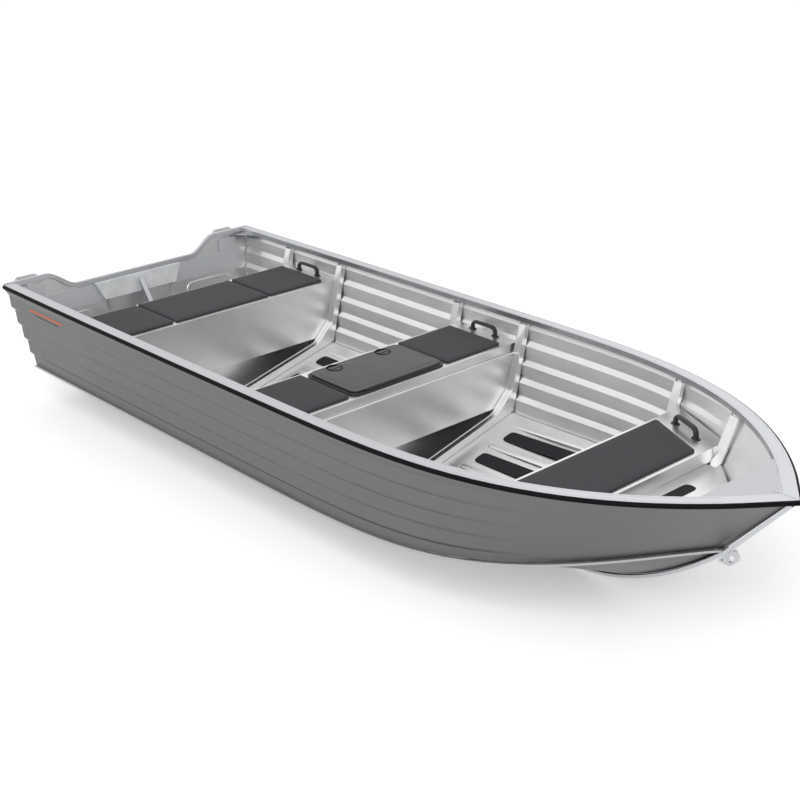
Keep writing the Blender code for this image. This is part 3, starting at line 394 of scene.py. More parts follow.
def new_piece(name, mesh, material, body="hull", angle=30.0):
    """Object from a mesh, smoothed, that rides on a body."""
    mesh.materials.clear()
    mesh.materials.append(material)
    mesh.shade_smooth()
    mesh.set_sharp_from_angle(angle=math.radians(angle))
    obj = bpy.data.objects.new(name, mesh)
    bpy.context.scene.collection.objects.link(obj)
    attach(obj, body)
    return obj


def soften(obj, width, segments=2, angle=35.0):
    """Rounded edges where faces meet at more than an angle."""
    bevel = obj.modifiers.new("edges", "BEVEL")
    bevel.width = width
    bevel.segments = segments
    bevel.limit_method = "ANGLE"
    bevel.angle_limit = math.radians(angle)
    bevel.harden_normals = True


def round_off(obj, levels):
    """Subdivision that keeps the hard edges."""
    mesh = obj.data
    bm = bmesh.new()
    bm.from_mesh(mesh)
    crease = bm.edges.layers.float.new("crease_edge")
    for edge in bm.edges:
        if edge.calc_face_angle(0.0) > math.radians(62.0):
            edge[crease] = 1.0
    bm.to_mesh(mesh)
    bm.free()
    smooth = obj.modifiers.new("rounding", "SUBSURF")
    smooth.levels = levels
    smooth.render_levels = levels


def merged(node, flat=False):
    """Welded copy of a CAD node's loose triangles."""
    mesh = frame["nodes"][node].data.copy()
    bm = bmesh.new()
    bm.from_mesh(mesh)
    bmesh.ops.remove_doubles(bm, verts=bm.verts, dist=0.00002)
    if flat:
        bmesh.ops.dissolve_limit(bm, angle_limit=math.radians(0.05), verts=bm.verts, edges=bm.edges)
    bm.to_mesh(mesh)
    bm.free()
    return mesh


def body_of_node(node):
    for body, names in frame["record"]["behaviour"]["bodies"].items():
        if node in names:
            return body
    raise ValueError("no body holds " + node)


def faces_out(face):
    """Whether a face of the skin is on the boat's weather side."""
    side = math.copysign(1.0, face.center.y)
    return face.normal.y * side - face.normal.z > 0.0


def dress(nodes, material, edge=0.0, angle=25.0, bend=35.0, levels=0, flat=False, outer=None):
    """Finished copies of CAD nodes, in place of them, with a second material on the outside faces if given;
    that darker outside is painted shade.
    """
    for node in nodes:
        piece = new_piece("fine_" + node, merged(node, flat), material, body_of_node(node),
                          angle)
        if outer:
            piece.data.materials.append(outer)
            for face in piece.data.polygons:
                face.material_index = int(faces_out(face))
        if edge > 0.0:
            soften(piece, edge, 2, bend)
        if levels:
            round_off(piece, levels)
        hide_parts(node)


def named(*stems):
    return [n for n in sorted(frame["nodes"]) if any(n.startswith(s) for s in stems)]


def tree_of(*nodes):
    """Ray target made of CAD nodes."""
    points = []
    faces = []
    for node in nodes:
        mesh = frame["nodes"][node].data
        base = len(points)
        points += [vertex.co.copy() for vertex in mesh.vertices]
        faces += [tuple(base + index for index in face.vertices) for face in mesh.polygons]
    return BVHTree.FromPolygons(points, faces)


def hit(tree, start, direction):
    place, normal, _, _ = tree.ray_cast(Vector(start), Vector(direction).normalized())
    if place is None:
        raise ValueError("nothing lies on the ray from " + str(tuple(start)))
    return place, normal


def along(low, high, count):
    return [low + (high - low) * index / (count - 1) for index in range(count)]


def mirrored(path):
    return [Vector((p[0], -p[1], p[2])) for p in path]


def pipe(name, paths, radius, material, body="hull"):
    """Round bars through lists of points."""
    curve = bpy.data.curves.new(name, "CURVE")
    curve.dimensions = "3D"
    curve.bevel_depth = radius
    curve.bevel_resolution = 2
    curve.use_fill_caps = True
    for path in paths:
        spline = curve.splines.new("POLY")
        spline.points.add(len(path) - 1)
        for place, point in zip(spline.points, path):
            place.co = (*point, 1.0)
    rough = bpy.data.objects.new(name + "_path", curve)
    bpy.context.scene.collection.objects.link(rough)
    mesh = plain_mesh(rough)
    bpy.data.objects.remove(rough, do_unlink=True)
    return new_piece(name, mesh, material, body, 50.0)


def plain_mesh(obj):
    """Mesh of an object with its modifiers worked out."""
    bpy.context.view_layer.update()
    graph = bpy.context.evaluated_depsgraph_get()
    mesh = bpy.data.meshes.new_from_object(obj.evaluated_get(graph), depsgraph=graph)
    bm = bmesh.new()
    bm.from_mesh(mesh)
    bmesh.ops.remove_doubles(bm, verts=bm.verts, dist=0.00001)
    bmesh.ops.recalc_face_normals(bm, faces=bm.faces)
    bm.to_mesh(mesh)
    bm.free()
    return mesh


def solid(rings, closed=False):
    """Mesh through rings of points, with flat ends or joined end to end."""
    bm = bmesh.new()
    loops = [[bm.verts.new(point) for point in ring] for ring in rings]
    count = len(loops[0])
    following = loops[1:] + loops[:1] if closed else loops[1:]
    for ring, other in zip(loops, following):
        for index in range(count):
            after = (index + 1) % count
            bm.faces.new((ring[index], ring[after], other[after], other[index]))
    if not closed:
        bm.faces.new(loops[0])
        bm.faces.new(loops[-1])
    bmesh.ops.recalc_face_normals(bm, faces=bm.faces)
    mesh = bpy.data.meshes.new("solid")
    bm.to_mesh(mesh)
    bm.free()
    return mesh


def joined(meshes):
    """One mesh out of several."""
    bm = bmesh.new()
    for mesh in meshes:
        bm.from_mesh(mesh)
        bpy.data.meshes.remove(mesh)
    whole = bpy.data.meshes.new("joined")
    bm.to_mesh(whole)
    bm.free()
    return whole


def turned(profile, centre, steps=40):
    """Solid of revolution about a vertical axis, from (radius, height) pairs."""
    rings = []
    for radius, height in profile:
        ring = []
        for step in range(steps):
            turn = 2.0 * math.pi * step / steps
            ring.append(Vector(centre) + Vector((radius * math.cos(turn), radius * math.sin(turn), height)))
        rings.append(ring)
    return solid(rings)


def pill(length, width, steps=8):
    """Outline (along, across) of a bar with round ends, about its middle."""
    radius = width / 2.0
    reach = length / 2.0 - radius
    points = []
    for side in (1.0, -1.0):
        for step in range(steps + 1):
            turn = math.pi * (step / steps - 0.5)
            points.append((side * (reach + radius * math.cos(turn)), side * radius * math.sin(turn)))
    return points


# Repeats along a path

def bead_group():
    """Geometry nodes: flattened balls along a path, a little uneven."""
    group = bpy.data.node_groups.new("beads_along_path", "GeometryNodeTree")
    face = group.interface
    face.new_socket("Geometry", in_out="INPUT", socket_type="NodeSocketGeometry")
    face.new_socket("Geometry", in_out="OUTPUT", socket_type="NodeSocketGeometry")
    for name, value in (("Radius", 0.003), ("Spacing", 0.003), ("Flatness", 0.5), ("Unevenness", 0.1)):
        socket = face.new_socket(name, in_out="INPUT", socket_type="NodeSocketFloat")
        socket.default_value = value
    face.new_socket("Seed", in_out="INPUT", socket_type="NodeSocketInt")
    face.new_socket("Material", in_out="INPUT", socket_type="NodeSocketMaterial")
    nodes = group.nodes
    start = nodes.new("NodeGroupInput")
    end = nodes.new("NodeGroupOutput")
    curve = nodes.new("GeometryNodeMeshToCurve")
    resample = nodes.new("GeometryNodeResampleCurve")
    resample.mode = "LENGTH"
    tangent = nodes.new("GeometryNodeInputTangent")
    align = nodes.new("FunctionNodeAlignEulerToVector")
    align.axis = "Z"
    ball = nodes.new("GeometryNodeMeshUVSphere")
    ball.inputs["Segments"].default_value = 12
    ball.inputs["Rings"].default_value = 6
    ball.inputs["Radius"].default_value = 1.0
    least = nodes.new("ShaderNodeMath")
    least.operation = "SUBTRACT"
    least.inputs[0].default_value = 1.0
    uneven = nodes.new("FunctionNodeRandomValue")
    across = nodes.new("ShaderNodeMath")
    across.operation = "MULTIPLY"
    thick = nodes.new("ShaderNodeMath")
    thick.operation = "MULTIPLY"
    size = nodes.new("ShaderNodeCombineXYZ")
    place = nodes.new("GeometryNodeInstanceOnPoints")
    real = nodes.new("GeometryNodeRealizeInstances")
    paint = nodes.new("GeometryNodeSetMaterial")
    link = group.links.new
    link(start.outputs["Geometry"], curve.inputs[0])
    link(curve.outputs[0], resample.inputs["Curve"])
    link(start.outputs["Spacing"], resample.inputs["Length"])
    link(resample.outputs[0], place.inputs["Points"])
    link(tangent.outputs[0], align.inputs["Vector"])
    link(align.outputs[0], place.inputs["Rotation"])
    link(ball.outputs["Mesh"], place.inputs["Instance"])
    link(start.outputs["Unevenness"], least.inputs[1])
    link(least.outputs[0], uneven.inputs[2])
    uneven.inputs[3].default_value = 1.0
    link(start.outputs["Seed"], uneven.inputs["Seed"])
    link(uneven.outputs[1], across.inputs[0])
    link(start.outputs["Radius"], across.inputs[1])
    link(start.outputs["Radius"], thick.inputs[0])
    link(start.outputs["Flatness"], thick.inputs[1])
    link(across.outputs[0], size.inputs[0])
    link(across.outputs[0], size.inputs[1])
    link(thick.outputs[0], size.inputs[2])
    link(size.outputs[0], place.inputs["Scale"])
    link(place.outputs[0], real.inputs[0])
    link(real.outputs[0], paint.inputs["Geometry"])
    link(start.outputs["Material"], paint.inputs["Material"])
    link(paint.outputs[0], end.inputs[0])
    return group


def beads(name, paths, material, radius, spacing, flatness, unevenness=0.15, body="hull"):
    """Piece made of beads along paths."""
    group = bpy.data.node_groups.get("beads_along_path") or bead_group()
    mesh = bpy.data.meshes.new(name + "_path")
    points = []
    edges = []
    for path in paths:
        base = len(points)
        points += [tuple(point) for point in path]
        edges += [(base + index, base + index + 1) for index in range(len(path) - 1)]
    mesh.from_pydata(points, edges, [])
    rough = bpy.data.objects.new(name + "_path", mesh)
    bpy.context.scene.collection.objects.link(rough)
    layer = rough.modifiers.new("beads", "NODES")
    layer.node_group = group
    values = {"Radius": radius, "Spacing": spacing, "Flatness": flatness, "Unevenness": unevenness,
              "Seed": 7, "Material": material}
    for item in group.interface.items_tree:
        if item.in_out == "INPUT" and item.name in values:
            layer[item.identifier] = values[item.name]
    bpy.context.view_layer.update()
    graph = bpy.context.evaluated_depsgraph_get()
    result = bpy.data.meshes.new_from_object(rough.evaluated_get(graph), depsgraph=graph)
    bpy.data.objects.remove(rough, do_unlink=True)
    return new_piece(name, result, material, body, 60.0)


# Pads

def plan_corners(node):
    """Corners (x, y) of a four-sided pad, its rounded corners made sharp."""
    points = [vertex.co.xy for vertex in frame["nodes"][node].data.vertices]
    outline = [points[index] for index in convex_hull_2d(points)]
    pairs = list(zip(outline, outline[1:] + outline[:1]))
    longest = sorted(range(len(pairs)), key=lambda k: -(pairs[k][1] - pairs[k][0]).length)[:4]
    sides = [pairs[index] for index in sorted(longest)]
    corners = []
    for (p, q), (r, s) in zip(sides, sides[1:] + sides[:1]):
        first = q - p
        second = s - r
        share = (r - p).cross(second) / first.cross(second)
        corners.append(p + first * share)
    return corners


def inset_steps(length, edge, pitch):
    """Places across a pad, crowded at its rounded edges."""
    near = [0.0, edge * 0.12, edge * 0.35, edge * 0.65, edge]
    count = max(int((length - 2.0 * edge) / pitch), 2)
    middle = [edge + (length - 2.0 * edge) * step / count for step in range(1, count)]
    return near + middle + [length - place for place in reversed(near)]


def corner_radii(node, corners):
    """Radius of each corner of a pad's CAD outline."""
    points = [vertex.co.xy for vertex in frame["nodes"][node].data.vertices]
    return [min((point - corner).length for point in points) / (math.sqrt(2.0) - 1.0) for corner in corners]


def pad_mesh(node, edge, crown, pitch):
    """Closed crowned pad with rounded edges in the space of its CAD solid."""
    corners = plan_corners(node)
    radii = corner_radii(node, corners)
    low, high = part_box(node)
    length = (corners[1] - corners[0]).length
    width = (corners[2] - corners[1]).length
    bm = bmesh.new()
    layers = []
    for level in (0, 1):
        rows = []
        for a in inset_steps(length, edge, pitch):
            row = []
            for b in inset_steps(width, edge, pitch):
                p, q = round_corner(a, b, length, width, radii)
                u = p / length
                v = q / width
                place = corners[0].lerp(corners[1], u).lerp(corners[3].lerp(corners[2], u), v)
                depth = min(p, length - p, q, width - q, edge)
                drop = edge - math.sqrt(max(edge ** 2 - (edge - depth) ** 2, 0.0))
                rise = min(p, length - p, q, width - q) / (4.0 * edge)
                swell = crown * math.sin(min(rise, 1.0) * math.pi / 2.0)
                if level:
                    z = high[2] - crown - drop + swell
                else:
                    z = low[2] + drop * 0.15
                row.append(bm.verts.new((place.x, place.y, z)))
            rows.append(row)
        layers.append(rows)
    for rows in layers:
        for row, following in zip(rows, rows[1:]):
            for index in range(len(row) - 1):
                bm.faces.new((row[index], row[index + 1], following[index + 1], following[index]))
    rims = [rim(rows) for rows in layers]
    for index in range(len(rims[0])):
        after = (index + 1) % len(rims[0])
        bm.faces.new((rims[0][index], rims[0][after], rims[1][after], rims[1][index]))
    bmesh.ops.recalc_face_normals(bm, faces=bm.faces)
    mesh = bpy.data.meshes.new(node)
    bm.to_mesh(mesh)
    bm.free()
    return mesh


def rim(rows):
    """Vertices around a grid's edge."""
    return (rows[0][:-1] + [row[-1] for row in rows[:-1]] + rows[-1][:0:-1]
            + [row[0] for row in reversed(rows[1:])])


def round_corner(a, b, length, width, radii):
    """Move a grid point of a rectangle into the same rectangle with round corners."""
    if b < width / 2.0:
        radius = radii[0] if a < length / 2.0 else radii[1]
    else:
        radius = radii[3] if a < length / 2.0 else radii[2]
    near_a = min(a, length - a)
    near_b = min(b, width - b)
    if near_a < radius and near_b < radius:
        inward = Vector((radius - near_a, radius - near_b))
        inward *= max(inward) / inward.length
        near_a = radius - inward.x
        near_b = radius - inward.y
    return (near_a if a <= length / 2.0 else length - near_a,
            near_b if b <= width / 2.0 else width - near_b)


def swell_cloth(obj, limit):
    """Let the skin swell a little under pressure, then keep the result."""
    rest = [vertex.co.copy() for vertex in obj.data.vertices]
    floor = min(point.z for point in rest)
    group = obj.vertex_groups.new(name="seated")
    group.add([k for k, point in enumerate(rest) if point.z < floor + 0.004], 1.0, "REPLACE")
    cloth = obj.modifiers.new("skin", "CLOTH")
    cloth.settings.quality = 5
    cloth.settings.use_pressure = True
    cloth.settings.uniform_pressure_force = 4.0
    cloth.settings.effector_weights.gravity = 0.0
    cloth.settings.vertex_group_mass = "seated"
    scene = bpy.context.scene
    for step in range(1, 21):
        scene.frame_set(step)
    graph = bpy.context.evaluated_depsgraph_get()
    swollen = obj.evaluated_get(graph).data
    places = [vertex.co.copy() for vertex in swollen.vertices]
    obj.modifiers.clear()
    obj.vertex_groups.clear()
    for vertex, start, end in zip(obj.data.vertices, rest, places):
        move = end - start
        if move.length > limit:
            move *= limit / move.length
        vertex.co = start + move
    scene.frame_set(1)


# Operators

class BOAT_OT_hull(bpy.types.Operator):
    """Dress the side, bottom and transom plates"""
    bl_idname = "boat.hull"
    bl_label = "Hull plates"

    def execute(self, context):
        metal = context.scene.boat_metal
        sheet = sheet_alloy("inner_sheet", tuple(metal.sheet), metal.sheet_gloss + 0.10, 0.10)
        # Outside faces of the side, bottom and transom plates take the dark topside colour: painted shade of
        # the hull's outside and underside.
        shaded_outside_sheet = sheet_alloy("topside_shaded_sheet", tuple(metal.topside_shade), metal.sheet_gloss + 0.04, 0.10)
        floor = sheet_alloy("floor_sheet", tuple(metal.floor), metal.sheet_gloss, 0.06)
        dress(named("side_plate"), sheet, 0.0040, 6.0, 12.0, outer=shaded_outside_sheet)
        dress(named("bottom_plate"), floor, 0.0, 30.0, outer=shaded_outside_sheet)
        rough = sheet_alloy("transom_sheet", shade(tuple(metal.sheet), 0.86), metal.sheet_gloss + 0.04, 0.10)
        dress(named("transom_plate"), rough, 0.0, 30.0, outer=shaded_outside_sheet)
        press_ribs(floor)
        orange = moulded("stripe_orange", tuple(metal.stripe), 0.35, 0.05)
        black = moulded("stripe_black", (0.012, 0.012, 0.014), 0.35, 0.05)
        for (name, *place), film in zip(STRIPES, (orange, black)):
            side_stripe(name, film, *place)
        return {"FINISHED"}


def side_stripe(name, material, start, length, height, width):
    """Thin film with slanted ends on both topsides near the stern."""
    meshes = []
    for side in (1.0, -1.0):
        tree = tree_of("side_plate_port" if side > 0.0 else "side_plate_starboard")
        rings = []
        for x in along(start, start + length, 24):
            ring = []
            for level, lift in ((0.5, 0.0002), (0.5, 0.0006), (-0.5, 0.0006), (-0.5, 0.0002)):
                lean = level * width * STRIPE_SLANT
                start_point = (x + lean, side * BESIDE_HULL, height + level * width)
                place, _ = hit(tree, start_point, (0.0, -side, 0.0))
                ring.append(place + Vector((0.0, side * lift, 0.0)))
            rings.append(ring)
        meshes.append(solid(rings))
    new_piece(name, joined(meshes), material, "hull", 30.0)


def press_ribs(material):
    """Flat ribs pressed into the floor beside the grip strips."""
    tree = tree_of("bottom_plate")
    meshes = []
    for bay in ("aft", "fore"):
        low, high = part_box("strip_%s_outer_port" % bay)
        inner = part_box("strip_%s_inner_port" % bay)
        rows = (inner[0][1] - RIB_INSIDE, (inner[1][1] + low[1]) / 2.0, high[1] + RIB_OUTSIDE)
        for row in rows:
            fore = high[0] + RIB_PAST
            while tree.ray_cast(Vector((fore, row + RIB_CLEAR, ABOVE_FLOOR)), DOWN)[0] is None:
                fore -= RIB_CUT
            aft = low[0] - RIB_PAST
            middle = (aft + fore) / 2.0
            length = fore - low[0] + RIB_PAST
            for side in (1.0, -1.0):
                meshes.append(rib_mesh(tree, middle, side * row, length))
    rib = new_piece("pressed_ribs", joined(meshes), material, "hull", 40.0)
    soften(rib, 0.0012, 2, 30.0)


def rib_mesh(tree, middle, y, length):
    """Raised pill that follows the floor under it."""
    rings = []
    for shrink, rise in RIB_RINGS:
        ring = []
        for along_x, across in pill(length - 2.0 * shrink, RIB_WIDTH - 2.0 * shrink, 6):
            place, _ = hit(tree, (middle + along_x, y + across, ABOVE_FLOOR), DOWN)
            ring.append(place + Vector((0.0, 0.0, rise)))
        rings.append(ring)
    return strip_mesh(rings)


def strip_mesh(rings):
    """Closed mesh from outlines of a long bar, its top and bottom in cross strips."""
    bm = bmesh.new()
    loops = [[bm.verts.new(point) for point in ring] for ring in rings]
    count = len(loops[0])
    for ring, other in zip(loops, loops[1:]):
        for index in range(count):
            after = (index + 1) % count
            bm.faces.new((ring[index], ring[after], other[after], other[index]))
    half = count // 2
    for ring in (loops[0], loops[-1]):
        for index in range(half - 1):
            bm.faces.new((ring[index], ring[index + 1], ring[-index - 2], ring[-index - 1]))
    bmesh.ops.recalc_face_normals(bm, faces=bm.faces)
    mesh = bpy.data.meshes.new("bar")
    bm.to_mesh(mesh)
    bm.free()
    return mesh


class BOAT_OT_extrusions(bpy.types.Operator):
    """Dress gunwales, chines, keel, frames and transom fittings"""
    bl_idname = "boat.extrusions"
    bl_label = "Extrusions and frames"

    def execute(self, context):
        metal = context.scene.boat_metal
        alloy = extruded_alloy("drawn_alloy", tuple(metal.extrusion), metal.extrusion_gloss)
        inner = extruded_alloy("inner_extrusion", tuple(metal.frame), metal.extrusion_gloss)
        # Outside faces of the chine, darker than its inside: painted shade of the hull's underside, taken
        # from the topside colour.
        dull = extruded_alloy("chine_outside_shade", shade(tuple(metal.topside_shade), 2.6), metal.extrusion_gloss + 0.05)
        dress(named("gunwale", "keel"), alloy, metal.edge)
        dress(named("chine"), inner, metal.edge, outer=dull)
        dress(named("frame_"), inner, 0.0016)
        bright = painted_alloy("band_sheet", shade(tuple(metal.extrusion), 1.05), 0.45)
        dress(["transom_moulding"], alloy, 0.0015)
        dress(["transom_band"], bright, 0.0008)
        dress(named("transom_knee", "corner_gusset", "bow_eye"), alloy, 0.0008)
        hook = sheet_alloy("hook_sheet", shade(tuple(metal.extrusion), 0.86), metal.sheet_gloss, 0.08)
        dress(["breasthook"], hook, 0.0008)
        board = moulded("pad_board", (0.74, 0.75, 0.76), 0.42, 0.25)
        dress(named("motor_pad"), board, 0.0012)
        gunwale_lines(alloy)
        hook_tip(hook)
        frame_flanges(inner)
        transom_pressings(inner)
        knee_cap(bright)
        return {"FINISHED"}


def knee_cap(material):
    """Flat bar along the knee's sloping edge."""
    points = [vertex.co for vertex in frame["nodes"]["transom_knee"].data.vertices]
    flat = [Vector((point.x, point.z)) for point in points]
    outline = [flat[index] for index in convex_hull_2d(flat)]
    pairs = zip(outline, outline[1:] + outline[:1])
    head, foot = max((pair for pair in pairs if abs(pair[0].y - pair[1].y) > 0.05
                      and min(pair[0].x, pair[1].x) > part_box("transom_knee")[0][0] + 0.01),
                     key=lambda pair: (pair[0] - pair[1]).length)
    if head.y < foot.y:
        head, foot = foot, head
    ahead = (foot - head).normalized()
    out = Vector((-ahead.y, ahead.x))
    if out.y < 0.0:
        out = -out
    rings = []
    for along_bar in (head + ahead * 0.004, foot - ahead * 0.004):
        ring = []
        for across, rise in rectangle(CAP_WIDTH, CAP_GAP, CAP_GAP + CAP_THICK):
            place = along_bar + out * rise
            ring.append(Vector((place.x, across, place.y)))
        rings.append(ring)
    piece = new_piece("knee_cap", solid(rings), material, "hull", 30.0)
    soften(piece, 0.0008, 2, 30.0)


def rectangle(width, low, high):
    """Corners (across, rise) of a flat bar's section."""
    half = width / 2.0
    return ((-half, low), (half, low), (half, high), (-half, high))


def gunwale_edge(node):
    """Outer top edge of a gunwale, from the transom to the bow."""
    mesh = frame["nodes"][node].data
    tree = tree_of(node)
    tops = []
    for vertex in mesh.vertices:
        point = vertex.co
        place, _, _, _ = tree.ray_cast(point + Vector((0.0, 0.0, 0.1)), DOWN)
        if place is None or abs(place.z - point.z) < 0.0004:
            tops.append(point.copy())
    outline = [tops[index] for index in convex_hull_2d([point.xy for point in tops])]
    side = 1.0 if outline[0].y > 0.0 or outline[1].y > 0.0 else -1.0
    ends = [point for point in outline if abs(point.y) > 0.004]
    ends.sort(key=lambda point: point.x)
    return [point for point in ends if side * point.y > 0.0]


def gunwale_lines(material):
    """Drawn lines along the gunwale's flat top."""
    meshes = []
    for node in named("gunwale"):
        edge = gunwale_edge(node)
        side = 1.0 if edge[0].y > 0.0 else -1.0
        for inset in LINE_INSETS:
            rings = []
            for before, point, after in zip(edge, edge[1:], edge[2:]):
                ahead = (after - before).normalized()
                inward = Vector((ahead.y * side, -ahead.x * side, 0.0)).normalized()
                base = point + inward * inset
                if base.y * side < 0.004:
                    continue
                rings.append([base + inward * offset + Vector((0.0, 0.0, rise))
                              for offset, rise in ((-0.0016, -0.0004), (-0.0007, 0.0006),
                                                   (0.0007, 0.0006), (0.0016, -0.0004))])
            meshes.append(solid(rings))
    new_piece("gunwale_lines", joined(meshes), material, "hull", 60.0)


def hook_tip(material):
    """Tip of the breasthook's plate, up to where the gunwales meet."""
    tree = tree_of("gunwale_port")
    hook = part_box("breasthook")
    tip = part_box("gunwale_port")
    port = []
    for x in along(hook[1][0] - TIP_LAP, tip[1][0], 60):
        edge, _, _, _ = tree.ray_cast(Vector((x, 0.0, tip[1][2] - 0.012)), Vector((0.0, 1.0, 0.0)))
        if edge is None or edge.y < 0.002:
            break
        level, _ = hit(tree, (x, edge.y + 0.002, tip[1][2] + 0.05), DOWN)
        port.append(Vector((x, edge.y - 0.0004, level.z)))
    rings = [[point + Vector((0.0, 0.0, drop)) for point in port + mirrored(port[::-1])]
             for drop in (-0.0006, -0.0036)]
    new_piece("hook_tip", solid(rings), material, "hull", 30.0)


def frame_face(node, x, low=6.0, high=174.0, count=90):
    """Inner face of a frame in the plane at x, from port round to starboard."""
    tree = tree_of(node)
    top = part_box(node)[1][2]
    centre = Vector((x, 0.0, top - BELOW_SHEER))
    points = []
    for turn in along(low, high, count):
        angle = math.radians(turn)
        ahead = Vector((0.0, math.cos(angle), -math.sin(angle)))
        place, _ = hit(tree, centre, ahead)
        points.append(place)
    return points


def frame_flanges(material):
    """Rolled flanges along both edges of each frame."""
    paths = []
    for node in named("frame_"):
        low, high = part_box(node)
        for x in (low[0] + FLANGE_INSET, high[0] - FLANGE_INSET):
            paths.append(frame_face(node, x))
    pipe("frame_flanges", paths, FLANGE_RADIUS, material)


def transom_x(z, forward=0.0):
    """Inner face of the raked transom at a height."""
    low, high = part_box("transom_plate")
    slope = math.tan(TRANSOM_RAKE)
    return low[0] + TRANSOM_SKIN + (high[2] - z) * slope + forward


def transom_pressings(material):
    """Rounded frames pressed into the transom, and the stays below the motor pad."""
    meshes = []
    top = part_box("transom_band")[0][2] - PRESS_BELOW_BAND
    pad_low, pad_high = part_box("motor_pad_inner")
    for side in (1.0, -1.0):
        rings = []
        for grow, rise in ((0.0, 0.0), (0.003, 0.0035), (0.009, 0.0035), (0.012, 0.0)):
            inner = rounded_box(PRESS_NEAR + grow, PRESS_FAR - grow, PRESS_FOOT + grow, top - grow,
                                PRESS_ROUND - grow, 6)
            rings.append([Vector((transom_x(z, rise - 0.0005), side * y, z)) for y, z in inner])
        meshes.append(solid(rings, closed=True))
        y = pad_high[1] - STAY_INSET
        z = pad_low[2] - 0.002
        low_z = pad_low[2] - STAY_HEIGHT
        stay = (Vector((transom_x(z, STAY_REACH), side * y, z)),
                Vector((transom_x(low_z, 0.001), side * (y - 0.004), low_z)),
                Vector((transom_x(z, 0.001), side * y, z)))
        thick = Vector((0.0, STAY_THICK / 2.0, 0.0))
        meshes.append(solid([[point - thick for point in stay], [point + thick for point in stay]]))
    piece = new_piece("transom_pressings", joined(meshes), material, "hull", 40.0)
    soften(piece, 0.0007, 2, 30.0)


def rounded_box(a0, a1, b0, b1, radius, steps):
    """Outline (a, b) of a box with round corners."""
    points = []
    for ca, cb, start in ((a1 - radius, b1 - radius, 0.0), (a0 + radius, b1 - radius, 0.25),
                          (a0 + radius, b0 + radius, 0.5), (a1 - radius, b0 + radius, 0.75)):
        for step in range(steps + 1):
            turn = 2.0 * math.pi * (start + 0.25 * step / steps)
            points.append((ca + radius * math.cos(turn), cb + radius * math.sin(turn)))
    return points


class BOAT_OT_welds(bpy.types.Operator):
    """Lay the weld beads"""
    bl_idname = "boat.welds"
    bl_label = "Weld beads"

    def execute(self, context):
        metal = context.scene.boat_metal
        bright = extruded_alloy("weld_alloy", shade(tuple(metal.extrusion), 1.1), 0.26)
        sides = tree_of("side_plate_port")
        paths = []
        corner = []
        for z in along(*TRANSOM_WELD, 30):
            x = transom_x(z, WELD_LIFT)
            place, _ = hit(sides, (x, INSIDE_HULL, z), (0.0, 1.0, 0.0))
            corner.append(Vector((x, place.y - WELD_INSET, z)))
        paths += [corner, mirrored(corner)]
        low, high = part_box("middle_bench_front")
        panel = []
        x = low[0] - WELD_LIFT
        for z in along(low[2] + WELD_LIFT, high[2] - WELD_LIFT, 24):
            place, _ = hit(sides, (x, INSIDE_HULL, z), (0.0, 1.0, 0.0))
            panel.append(Vector((x, place.y - WELD_INSET, z)))
        paths += [panel, mirrored(panel)]
        seam = hook_seam()
        paths += [seam, mirrored(seam)]
        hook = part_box("breasthook")[1]
        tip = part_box("gunwale_port")[1]
        paths.append([Vector((hook[0] + 0.012, 0.0, tip[2] + 0.0002)),
                      Vector((tip[0] - 0.006, 0.0, tip[2] + 0.0002))])
        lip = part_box("bow_bench")[1]
        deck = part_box("bow_deck")[1]
        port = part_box("bow_pad")[1][1] - WELD_FROM_PAD
        joint = [Vector((lip[0] + 0.001, port, z)) for z in along(lip[2] - 0.004, deck[2] + 0.003, 8)]
        paths += [joint, mirrored(joint)]
        beads("weld_beads", paths, bright, WELD_RADIUS, WELD_SPACING, WELD_FLATNESS, WELD_UNEVENNESS)
        return {"FINISHED"}


def hook_seam():
    """Port edge of the breasthook, where it meets the gunwale."""
    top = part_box("breasthook")[1][2]
    points = []
    for vertex in frame["nodes"]["breasthook"].data.vertices:
        point = vertex.co
        if point.y > SEAM_START and point.z > top - SAME_PLACE:
            if not any((point - other).length < SAME_PLACE for other in points):
                points.append(point.copy())
    points.sort(key=lambda point: point.x)
    return [point + Vector((0.0, 0.0, SEAM_LIFT)) for point in points]


class BOAT_OT_benches(bpy.types.Operator):
    """Dress the bench sheets and the bow deck"""
    bl_idname = "boat.benches"
    bl_label = "Benches"

    def execute(self, context):
        metal = context.scene.boat_metal
        material = sheet_alloy("bench_sheet", tuple(metal.seat), metal.sheet_gloss - 0.02, 0.05)
        dress(named("stern_bench", "bow_bench"), material, 0.003)
        dress(["middle_bench_front"], material, 0.0010)
        dress(["middle_bench"], material, 0.0015)
        dress(["bow_deck"], material, 0.0008)
        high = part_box("middle_bench_front")[1]
        reach = high[1] - LEDGE_SHORT
        place = (high[0] - LEDGE_ROLL / 2.0, high[2] - LEDGE_ROLL / 2.0)
        path = [(place[0], y, place[1]) for y in along(-reach, reach, 12)]
        pipe("ledge_roll", [path], LEDGE_ROLL, material)
        return {"FINISHED"}


class BOAT_OT_pads(bpy.types.Operator):
    """Make the seat pads"""
    bl_idname = "boat.pads"
    bl_label = "Seat pads"

    def execute(self, context):
        trim = context.scene.boat_trim
        material = foam_pad("pad_foam", tuple(trim.pad))
        for node in named("stern_pad", "middle_pad", "bow_pad"):
            mesh = pad_mesh(node, 0.006, trim.crown, 0.015)
            piece = new_piece("soft_" + node, mesh, material, "hull", 60.0)
            swell_cloth(piece, trim.swell)
            smooth = piece.modifiers.new("skin", "SUBSURF")
            smooth.levels = 1
            smooth.render_levels = 1
            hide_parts(node)
        return {"FINISHED"}


class BOAT_OT_strakes(bpy.types.Operator):
    """Dress the rubber strakes and the grip strips"""
    bl_idname = "boat.strakes"
    bl_label = "Rubber and grip"

    def execute(self, context):
        trim = context.scene.boat_trim
        dress(named("rub_strake"), rubber("strake_rubber", tuple(trim.rubber)), 0.0, 60.0, levels=1)
        dress(named("strip_", "bow_strip"), grit("strip_grit", tuple(trim.grit)), 0.0006)
        return {"FINISHED"}


